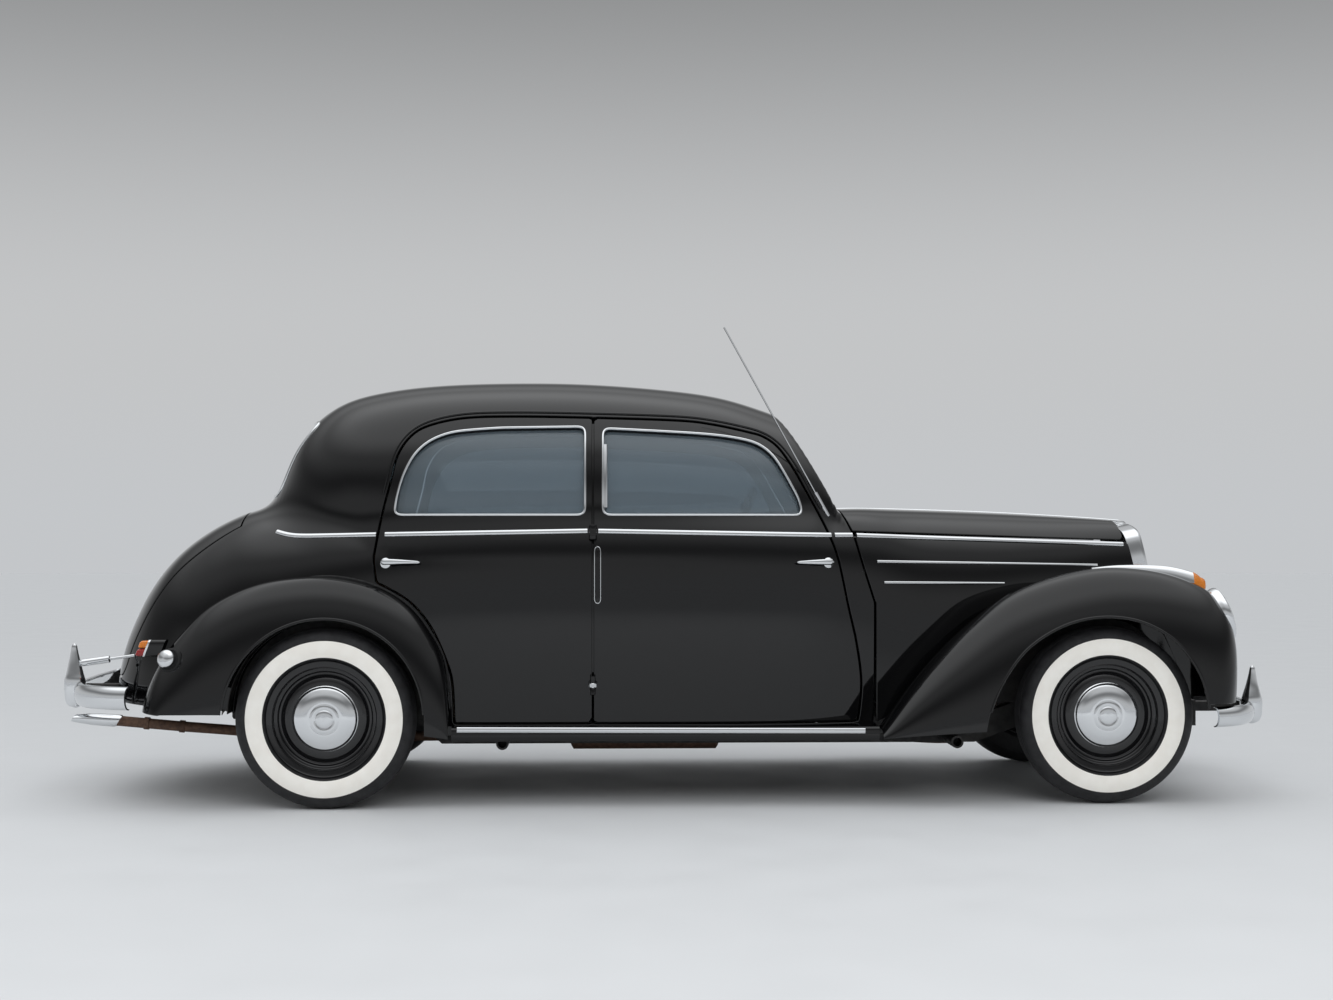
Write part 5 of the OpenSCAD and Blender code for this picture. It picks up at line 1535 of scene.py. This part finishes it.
class SALOON_OT_radiator(Operator):
    """Radiator shell, its cap and the slats"""

    bl_idname = "saloon.radiator"
    bl_label = "Radiator"

    def execute(self, context):
        outline = soft_outline([
            (-182, 0), (182, 0), (214, SHELL_H - 130), (194, SHELL_H - 30), (90, SHELL_H), (-90, SHELL_H),
            (-194, SHELL_H - 30), (-214, SHELL_H - 130)], 64, 6.0)
        ahead = unit(np.roll(outline, -1, 0) - np.roll(outline, 1, 0))
        inwards = np.column_stack([-ahead[:, 1], ahead[:, 0]])
        path = SHELL_FOOT + outline[:, :1] * ACROSS + outline[:, 1:] * SHELL_UP
        side = inwards[:, :1] * ACROSS + inwards[:, 1:] * SHELL_UP
        section = soft_outline([
            (0, -SHELL_DEPTH), (0, -12), (6, -2), (14, 0), (24, -3), (30, -12), (31, -40), (27, -40),
            (26, -16), (8, -16), (6, -SHELL_DEPTH)], 3, 1.5)
        shell = sweep(path, side, SHELL_OUT, section, True)
        cap_at = SHELL_FOOT - SHELL_DEPTH / 2 * SHELL_OUT + (SHELL_H - 4) * SHELL_UP
        cap = turn([(0, 0.1), (0, 34), (6, 34), (8, 30), (13, 28), (16, 20), (17, 0.1)], cap_at, SHELL_UP, 48)
        piece("radiator_shell_skin", joined(shell, cap), "chrome", stands_for=["radiator_shell"])
        self.slats(outline)
        return {"FINISHED"}

    def slats(self, outline):
        """Upright slats inside the shell, each a thin leaf section carried from the shell's foot to its top,
        and a wider bar in the middle."""
        leaf = [(-2.4, -26), (-3.6, -9), (-1.6, -1), (1.6, -1), (3.6, -9), (2.4, -26)]
        made = []
        for y in np.arange(-13, 14) * mm("slat_pitch"):
            near = outline[np.abs(outline[:, 0] - y) < 8][:, 1]
            z = np.linspace(near.min() + 26, near.max() - 26, 12)
            bow = -10 * (y / 180) ** 2
            path = SHELL_FOOT + y * ACROSS + z[:, None] * SHELL_UP + (bow - 10) * SHELL_OUT
            made.append(sweep(path, ACROSS, SHELL_OUT, leaf))
        z = np.linspace(24, SHELL_H - 26, 12)
        path = SHELL_FOOT + z[:, None] * SHELL_UP - 8 * SHELL_OUT
        bar = sweep(path, ACROSS, SHELL_OUT, [(-8, -20), (-8, -4), (-4, 2), (4, 2), (8, -4), (8, -20)])
        piece("radiator_slats", joined(*made, bar), "chrome")
        dress("chassis", "grille")


class SALOON_OT_bumpers(Operator):
    """Front and rear bumpers with overriders and brackets"""

    bl_idname = "saloon.bumpers"
    bl_label = "Bumpers"

    def execute(self, context):
        # Plan lines: way back from the face, share of the half width
        front = [(14, 0), (20, 0.31), (38, 0.6), (86, 0.8), (160, 0.935), (255, 1)]
        rear = [(14, 0), (20, 0.31), (38, 0.6), (90, 0.81), (180, 0.94), (285, 1)]
        self.bumper("front", NOSE_X, 1, FRONT_FENDER - 22, front, SILL + 24, 74, 158, FRONT_X + 440)
        self.bumper("rear", TAIL_X, -1, REAR_FENDER - 42, rear, SILL + 102, 84, 172, REAR_X - 700)
        return {"FINISHED"}

    def bumper(self, name, face, way, half, line, z, tall, rider, bracket_to):
        """A crescent section carried along the bumper's plan line, with a tapering horn at each side. The
        rear horns have stays."""
        half_line = evenly(np.array(line) * np.array([1, half]), 12)
        plan = np.vstack([half_line[:0:-1] * np.array([1, -1]), half_line])
        path = points_at(face - way * (plan[:, 0] + 30), plan[:, 1], z)
        out = np.cross(unit(np.gradient(path, axis=0)), UP) * way
        edge = tall / 2
        k = np.linspace(-math.pi / 2, math.pi / 2, 17)
        outer = np.column_stack([edge * np.sin(k), 30 * np.cos(k) ** 0.8])
        inner = np.column_stack([(edge - 4) * np.sin(k[::-1]), 24 * np.cos(k[::-1]) ** 0.8 - 3])
        parts = [sweep(path, UP, out, np.vstack([outer, inner]))]
        # Columns: way back from the face, height, half length, half width
        horn = evenly([
            (42, -edge - 17, 4, 4), (41, -edge - 12, 22, 18), (40, -edge + 8, 34, 27), (40, 0, 38, 31),
            (40, edge, 38, 31), (40, edge + 24, 32, 26), (39, rider - 62, 22, 17),
            (38, rider - 22, 13.5, 10.5), (38, rider + 2, 9, 7.5), (38, rider + 8, 3, 3)], 5, [1], 1)
        block = soft_outline([(-22, -19), (22, -19), (22, 19), (-22, 19)], 6, 3.0)
        brackets = []
        for s in (-1, 1):
            centre = points_at(face - way * horn[:, 0], s * 480, z + horn[:, 1])
            parts.append(rings(centre, horn[:, 2], horn[:, 3], AHEAD, ACROSS, 2.4))
            if name == "rear":
                x = face - way * np.array([40, 60, 66, 68, 166, 168, 170, 260])
                stay = points_at(x, s * 480, z + 104 + 0.14 * (way * (face - x) - 40))
                parts.append(tube(stay, [7, 7, 8, 13.5, 13.5, 12, 5.5, 5.5]))
            arm = points_at(np.linspace(face - way * 40, bracket_to, 8), s * 320, z)
            brackets.append(sweep(arm, ACROSS, UP, block))
        piece(f"{name}_bumper_blade", joined(*parts), "chrome", stands_for=[f"{name}_bumper"])
        piece(f"{name}_bumper_brackets", joined(*brackets), "chassis")


class SALOON_OT_wheels(Operator):
    """Tyres with white sidewalls, pressed steel wheels and domed hub caps"""

    bl_idname = "saloon.wheels"
    bl_label = "Wheels"

    def execute(self, context):
        white = mm("whitewall")
        sidewall = [
            (60, 199), (60, 209), (67, 214), (72, 218), (75, 221), (78.5, 235), (80.5, 250), (80.3, 266),
            (78.2, white), (79.2, white + 1.5), (78.6, white + 5), (74, 297), (66, 309), (58, 315.5)]
        tread = [
            (52, 318.5), (45, 320.5), (44, 315), (40, 315.5), (39, 321.5), (28, 322.9), (27, 317),
            (23, 317.3), (22, 323.6), (10.5, 324.4), (9.5, 318), (6, 318), (5, 324.7)]
        profile = both_ways(sidewall + tread)
        kinds = np.zeros(len(profile) - 1, int)
        kinds[4:8] = 1
        wheel = [
            (-60, 195), (-66, 200), (-66, 207), (-69, 207.5), (-70, 203), (-66, 188), (-58, 184), (56, 184),
            (63, 188), (67, 204), (69, 207.5), (66, 207.5), (65.5, 203), (62, 190), (56, 186.5), (48, 184),
            (44, 180), (42, 172), (34, 168), (31, 162), (33, 156), (40, 146), (43.5, 136), (44, 126),
            (44, 60), (30, 60), (30, 150), (-50, 176), (-58, 182)]
        cap = [
            (42, 0.1), (42, 117.5), (44, 119), (47, 118.5), (50, 114), (54, 111.5), (57, 108), (58.5, 104),
            (64, 93), (68, 80), (70.5, 66), (71.6, 56), (71.2, 54.5), (71.4, 53), (72.6, 51.5), (73.4, 44),
            (73.9, 36), (72.8, 34.5), (72.6, 32), (73.8, 30.5), (75.4, 26), (76.2, 16), (76.5, 0.1)]
        for name, x, y in (("front", FRONT_X, FRONT_Y), ("rear", REAR_X, REAR_Y)):
            hub, body = (x, y, AXLE_H), f"{name}_wheel"
            tyre = turn(profile, hub, RIGHT, 168, kinds)
            pair(f"{name}_tyre_tread", tyre, "rubber white_rubber", body, f"{name}_tyre", sharp=28)
            rim = turn(side_curve(wheel, 2), hub, RIGHT, 120)
            pair(f"{name}_rim", rim, "wheel", body, f"{name}_wheel", sharp=50)
            pair(f"{name}_hub_cap", turn(cap, hub, RIGHT, 120), "chrome", body, sharp=40)
        return {"FINISHED"}


class SALOON_OT_lamps(Operator):
    """Headlamps, turn lamps on the fenders, tail lamps and fuel filler"""

    bl_idname = "saloon.lamps"
    bl_label = "Lamps"

    def execute(self, context):
        ring, bowl, lens = (turn(profile, LAMP_AT, LAMP_AXIS, 72) for profile in (
            [(-26, 96), (-4, 103), (6, 104), (13, 102), (17, 97), (18, 92), (14, 88), (6, 88), (-30, 86)],
            [(-60, 0.1), (-62, 20), (-54, 50), (-36, 74), (-6, 88), (-10, 92), (-66, 40), (-70, 0.1)],
            [(4, 0.1), (4, 88), (12, 88), (20, 80), (29, 60), (34, 36), (36, 0.1)]))
        pair("headlamp_ring", joined(ring, bowl), "chrome")
        glass = pair("headlamp_lens", lens, "lens")
        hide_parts("headlamps")
        self.spears()
        self.tail()
        return {"FINISHED"}

    def spears(self):
        """Turn lamps: a chrome spear along each front fender's crest that ends in an amber nose."""
        # Columns: way ahead of the wheel, base, crown, half width
        rows = evenly([
            (-30, 550, 563, 3), (80, 546, 573, 12), (240, 524, 571, 23), (345, 490, 549, 27),
            (378, 478, 528, 22)], 8, [0, 1])
        x, low, high, half = (column[:, None] for column in rows.T)
        a = np.linspace(0, math.pi, 19)
        points = np.stack(np.broadcast_arrays(
            FRONT_X + x, 209 - FRONT_FENDER - half * np.cos(a), SILL + low + (high - low) * np.sin(a)), -1)
        split = int(np.argmax(rows[:, 0] > 350))
        made = pair("turn_lamp_spear", stacked(points[:split]), "chrome")
        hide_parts("indicators")
        last = points[-1]
        core = last.mean(0)
        share = np.linspace(0, 1, 9)[1:, None, None]
        nose = core + (last - core) * np.sqrt(1 - share ** 2) + share * np.array([20, 0, -3])
        pair("turn_lamp_lens", stacked(np.concatenate([points[split - 1:], nose])), "amber")

    def tail(self):
        """Tail lamps: a housing against the fender, a thin bright rim and two lenses that face the rear, all
        leaning. Each is a stack of rounded rings along the car whose lower part lies further back. The right
        fender also carries the fuel filler."""
        centre = np.array([REAR_X - 640, 164 - REAR_FENDER, SILL + 275])
        lean = 0.38
        for name, near, far, low, high, half, label in (
                ("tail_lamp_housing", 46, -8, -31, 31, 30, "paint"),
                ("tail_lamp_rim", -6, -13, -32, 32, 31.5, "chrome"),
                ("tail_lamp_ruby", -10, -44, -28.5, -0.8, 28.5, "ruby"),
                ("tail_lamp_amber", -10, -44, 0.8, 28.5, 28.5, "amber")):
            t = np.linspace(0, 1, 17)
            x = near + (far - near) * t
            end = np.clip(1 - t ** 8, 0.1, 1) ** (1 / 3) if label in ("ruby", "amber") else np.ones(17)
            mid, tall = (low + high) / 2, (high - low) / 2
            path = centre + points_at(x, 0.1 * x, mid)
            shape = rings(path, half * end, tall * end, ACROSS, (lean, 0, 1), 5.0, 40)
            shape["points"][:, 0] += lean * mid
            made = pair(name, shape, label)
            if label == "ruby":
                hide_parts("tail_lamps")
        start = np.array([[REAR_X - 545, 200 - REAR_FENDER, SILL + 236]])
        spot = reach(lambda p: depth(REAR_WING, p), start, RIGHT, 300)[0]
        collar, cap = (turn(profile, spot, (-0.34, -0.9, 0.26), 56) for profile in (
            [(-34, 0.1), (-34, 45), (6, 45), (11, 42), (13, 37), (9, 34), (9, 0.1)],
            [(8, 0.1), (8, 24), (26, 24), (28, 31), (32, 33), (38, 32.5), (45, 28), (50, 18), (52, 0.1)]))
        piece("fuel_filler_collar", collar, "seal")
        piece("fuel_filler_cap", cap, "chrome")


class SALOON_OT_handles(Operator):
    """Door handles, hinge covers, signal arms and the antenna's finish"""

    bl_idname = "saloon.handles"
    bl_label = "Handles and small fittings"

    def execute(self, context):
        boss = [(-4, 0.1), (-4, 19), (3, 19), (6, 14), (9, 8.5), (24, 8), (26, 0.1)]
        for name, body, pivot, tip in (
                ("front_handle", "front_door", POST_X + 876, POST_X + 742),
                ("rear_handle", "rear_door", REAR_X + 197, REAR_X + 337)):
            path, normals = on_side(np.linspace(pivot, tip, 22), WAIST - 152)
            t = np.linspace(0, 1, 22)
            lever = path + normals * (22 + 9 * np.sin(np.pi * t))[:, None]
            size = np.interp(t, [0, 0.04, 0.25, 0.6, 0.95, 1], [3, 10.5, 11, 8, 5, 2])
            bar = rings(lever, size * 0.7, size, ACROSS, UP)
            pair(name, joined(bar, turn(boss, path[2], normals[2], 32)), "chrome", body)
        for name, label, place, segments, half in (
                ("lower_hinge_cover", "paint", HINGE_LOW, 24,
                 [(-35, 0.1), (-35, 7), (-33, 9.8), (-12, 9.8), (-11, 9.2), (-10, 9.8)]),
                ("lower_hinge_cap", "chrome", HINGE_LOW, 32, [(-8, 0.1), (-8, 15), (-6, 17)]),
                ("upper_hinge_cover", "paint", HINGE_HIGH, 32,
                 [(-27, 0.1), (-27, 11), (-26, 13), (-23, 14.5), (-9, 14.5), (-8, 13.8), (-7, 14.5)])):
            pair(name, turn(both_ways(half), place, HINGE_HIGH - HINGE_LOW, segments), label)
        self.signal_arm()
        dress("chrome", "antenna")
        return {"FINISHED"}

    def signal_arm(self):
        """The folded signal arm ahead of each post: a bright rim round a slim bar, both with round ends."""
        x, z = POST_X + 17, np.linspace(WAIST - 300, WAIST - 90, 40)
        radius = 11
        a = np.linspace(0, math.pi, 12)
        c, s = radius * np.cos(a), radius * np.sin(a)
        ring = np.vstack([np.column_stack([x + c, z[-1] - radius + s]),
                          np.column_stack([x - c, z[0] + radius - s])])
        rim = lay(*on_side(*soft_outline(ring, 4, 4.0).T), bead_outline(3.5, 2.5), True)
        pair("signal_arm_slot", rim, "chrome", "front_door")
        path, _ = on_side(x, z)
        size = np.interp(np.arange(40), [0, 3, 36, 39], [2, 6.5, 6.5, 2])
        pair("signal_arm", rings(path, size, 0.5 * size, AHEAD, ACROSS), "paint", "front_door")


class SALOON_OT_seats(Operator):
    """Front and rear bench seats with sewn channels"""

    bl_idname = "saloon.seats"
    bl_label = "Seats"

    def cushion(self, centre, half, tilt, channels, front):
        """A crowned pad of rings across the car. Each ring is |x / a|^4 + |z / b|^4 = 1, and at the two ends
        the rings shrink by (1 - |y|^10)^(1/4). Sewn channels sink its face, the top or the front, by |cos|
        across it."""
        y = np.sin(np.linspace(-math.pi / 2, math.pi / 2, 241))[:, None]
        a = np.linspace(0, 2 * math.pi, 72, endpoint=False)[None]
        c, s = np.cos(a), np.sin(a)
        r = (c ** 4 + s ** 4) ** -0.25
        end = np.clip(1 - np.abs(y) ** 10, 0.0004, 1) ** 0.25
        x, z = half[0] * end * r * c, half[2] * end * r * s
        face = np.clip(1.6 * (c if front else s), 0, 1) ** 2 * end
        ridge = np.abs(np.cos(y * channels * math.pi / 2)) ** 0.6
        swell = face * (9 * ridge - 6 + 12 * (1 - y ** 2))
        x, z = (x + swell, z) if front else (x, z + swell)
        waist = 1 - 0.012 * (1 - np.abs(z / half[2]) ** 2)
        points = np.stack([x * math.cos(tilt) + z * math.sin(tilt), y * half[1] * waist,
                           z * math.cos(tilt) - x * math.sin(tilt)], -1)
        return stacked(points + np.array(centre))

    def execute(self, context):
        # Cushion and backrest: centre, half sizes, tilt. Plinth: place, half depth, half width.
        for name, node, seat, back, base in (
                ("front_bench", "front_seat", ((POST_X + 265, 0, SILL + 220), (235, 585, 76), -0.12),
                 ((POST_X - 18, 0, SILL + 425), (50, 585, 215), -0.2), (POST_X + 250, 200, 560)),
                ("rear_bench", "rear_seat", ((REAR_X + 425, 0, SILL + 245), (215, 525, 70), -0.12),
                 ((REAR_X + 158, 0, SILL + 465), (46, 525, 200), -0.24), (REAR_X + 500, 100, 505))):
            for part, (centre, half, tilt), nodes in (("cushion", seat, [node]), ("backrest", back, ())):
                shape = self.cushion(centre, half, tilt, sizes().pleats, part == "backrest")
                made = piece(f"{name}_{part}", shape, "leather", stands_for=nodes, sharp=60)
            x, deep, wide = base
            section = soft_outline([(-deep, 0), (deep, 0), (deep + 20, 180), (-deep, 150)], 18, 6.0)
            path = points_at(x, np.linspace(-wide, wide, 9), SILL + 2)
            piece(f"{name}_plinth", sweep(path, AHEAD, UP, section), "lining")
        return {"FINISHED"}


class SALOON_OT_underside(Operator):
    """Exhaust, dials, and finishes of the CAD pieces that stay in view: frame, axles, engine and controls"""

    bl_idname = "saloon.underside"
    bl_label = "Underside and controls"

    def execute(self, context):
        dress("chassis", "frame", "jack_sockets", "floor_pan", "front_suspension", "rear_axle",
              "knuckle_right", "knuckle_left")
        dress("iron", "engine")
        self.exhaust()
        dress("walnut", "dashboard")
        dress("bakelite", "steering_wheel")
        self.dials()
        return {"FINISHED"}

    def dials(self):
        """Instruments on the dashboard's slanting face: a bright ring, a dark face and a pointer each."""
        face = unit(np.array([-120.0, 0, -50]))
        hand_way = unit(np.cross(face, ACROSS) + 0.6 * ACROSS)
        for name, y, radius in (("speed_dial", 330, 46), ("clock_dial", -60, 40), ("fuel_dial", 190, 34)):
            place = np.array([COWL_X - 125, y, WAIST - 130])
            inside = radius - 6
            rim = [(-6, inside), (-6, radius), (5, radius), (8, radius - 3), (6, inside)]
            ring = turn(rim, place, face, 48)
            disc = turn([(-8, 0.1), (-8, radius - 4), (2.5, radius - 4), (2.6, 0.1)], place, face, 48)
            t = np.linspace(0, 1, 6)[:, None]
            hand = tube(place + 4 * face + (radius - 12) * t * hand_way, 1.3, 6)
            piece(f"{name}_ring", joined(ring, hand), "chrome")
            piece(f"{name}_face", disc, "bakelite")

    def exhaust(self):
        """A pipe along the CAD route with its silencer, clamps and a bright tail piece with a slanting,
        flattened end."""
        low, tail = SILL - 94, -520
        route = evenly([
            (FRONT_X - 300, -164, AXLE_H + 145), (FRONT_X - 310, -205, AXLE_H + 110),
            (FRONT_X - 400, -210, low), (FRONT_X - 900, -210, low), (POST_X, -210, low),
            (REAR_X + 330, -212, low), (REAR_X + 200, -300, low + 4), (REAR_X + 30, -460, low + 10),
            (REAR_X - 120, tail, low + 26), (REAR_X - 340, tail, low + 52), (REAR_X - 560, tail, low + 70),
            (REAR_X - 800, tail, low + 92)], 16, None, 4)
        can = both_ways([(-290, 0.1), (-290, 24), (-284, 40), (-276, 52)])
        clamp = both_ways([(-9, 18.5), (-9, 23)])
        parts = [tube(route, 19, 20), turn(can, (POST_X + 200, -210, low), AHEAD, 40)]
        for x, z in ((REAR_X - 690, low + 82), (REAR_X - 560, low + 70)):
            parts.append(turn(clamp, (x, tail, z), (1, 0, -0.09), 24))
        piece("exhaust_pipe", joined(*parts), "rust", stands_for=["exhaust"])
        far = np.array([0, 8, 40, 90, 130, 158, 166, 168, 166, 150, 110])
        wide = [20, 22, 22, 22.5, 24, 26, 26, 25, 24, 23, 20]
        tall = [20, 22, 22, 21, 18, 14.5, 13.5, 12.5, 11.5, 12, 14]
        path = points_at(REAR_X - 790 - far, tail, low + 91 + 0.07 * far)
        piece("exhaust_tail_piece", rings(path, wide, tall, ACROSS, (0.6, 0, 1), 2.0, 32), "chrome")


class SALOON_PT_panel(Panel):
    """Sizes, colours and pieces of the saloon"""

    bl_idname = "SALOON_PT_panel"
    bl_label = "Saloon"
    bl_space_type = "VIEW_3D"
    bl_region_type = "UI"
    bl_category = "Saloon"

    def draw(self, context):
        for group in (context.scene.saloon_sizes, context.scene.saloon_colours):
            for name in group.__annotations__:
                self.layout.prop(group, name)
        for operator in OPERATORS:
            self.layout.operator(operator.bl_idname)


OPERATORS = (
    SALOON_OT_stage, SALOON_OT_body, SALOON_OT_doors, SALOON_OT_trunk_lid, SALOON_OT_wings,
    SALOON_OT_hood, SALOON_OT_windows, SALOON_OT_strips, SALOON_OT_radiator, SALOON_OT_bumpers,
    SALOON_OT_wheels, SALOON_OT_lamps, SALOON_OT_handles, SALOON_OT_seats, SALOON_OT_underside)
CLASSES = (SaloonSizes, SaloonColours) + OPERATORS + (SALOON_PT_panel,)


def register():
    for made in CLASSES:
        bpy.utils.register_class(made)
    bpy.types.Scene.saloon_sizes = PointerProperty(type=SaloonSizes)
    bpy.types.Scene.saloon_colours = PointerProperty(type=SaloonColours)


def unregister():
    del bpy.types.Scene.saloon_colours
    del bpy.types.Scene.saloon_sizes
    for made in reversed(CLASSES):
        bpy.utils.unregister_class(made)


def main():
    register()
    for operator in OPERATORS:
        group, name = operator.bl_idname.split(".")
        getattr(getattr(bpy.ops, group), name)()


if __name__ == "__main__":
    main()
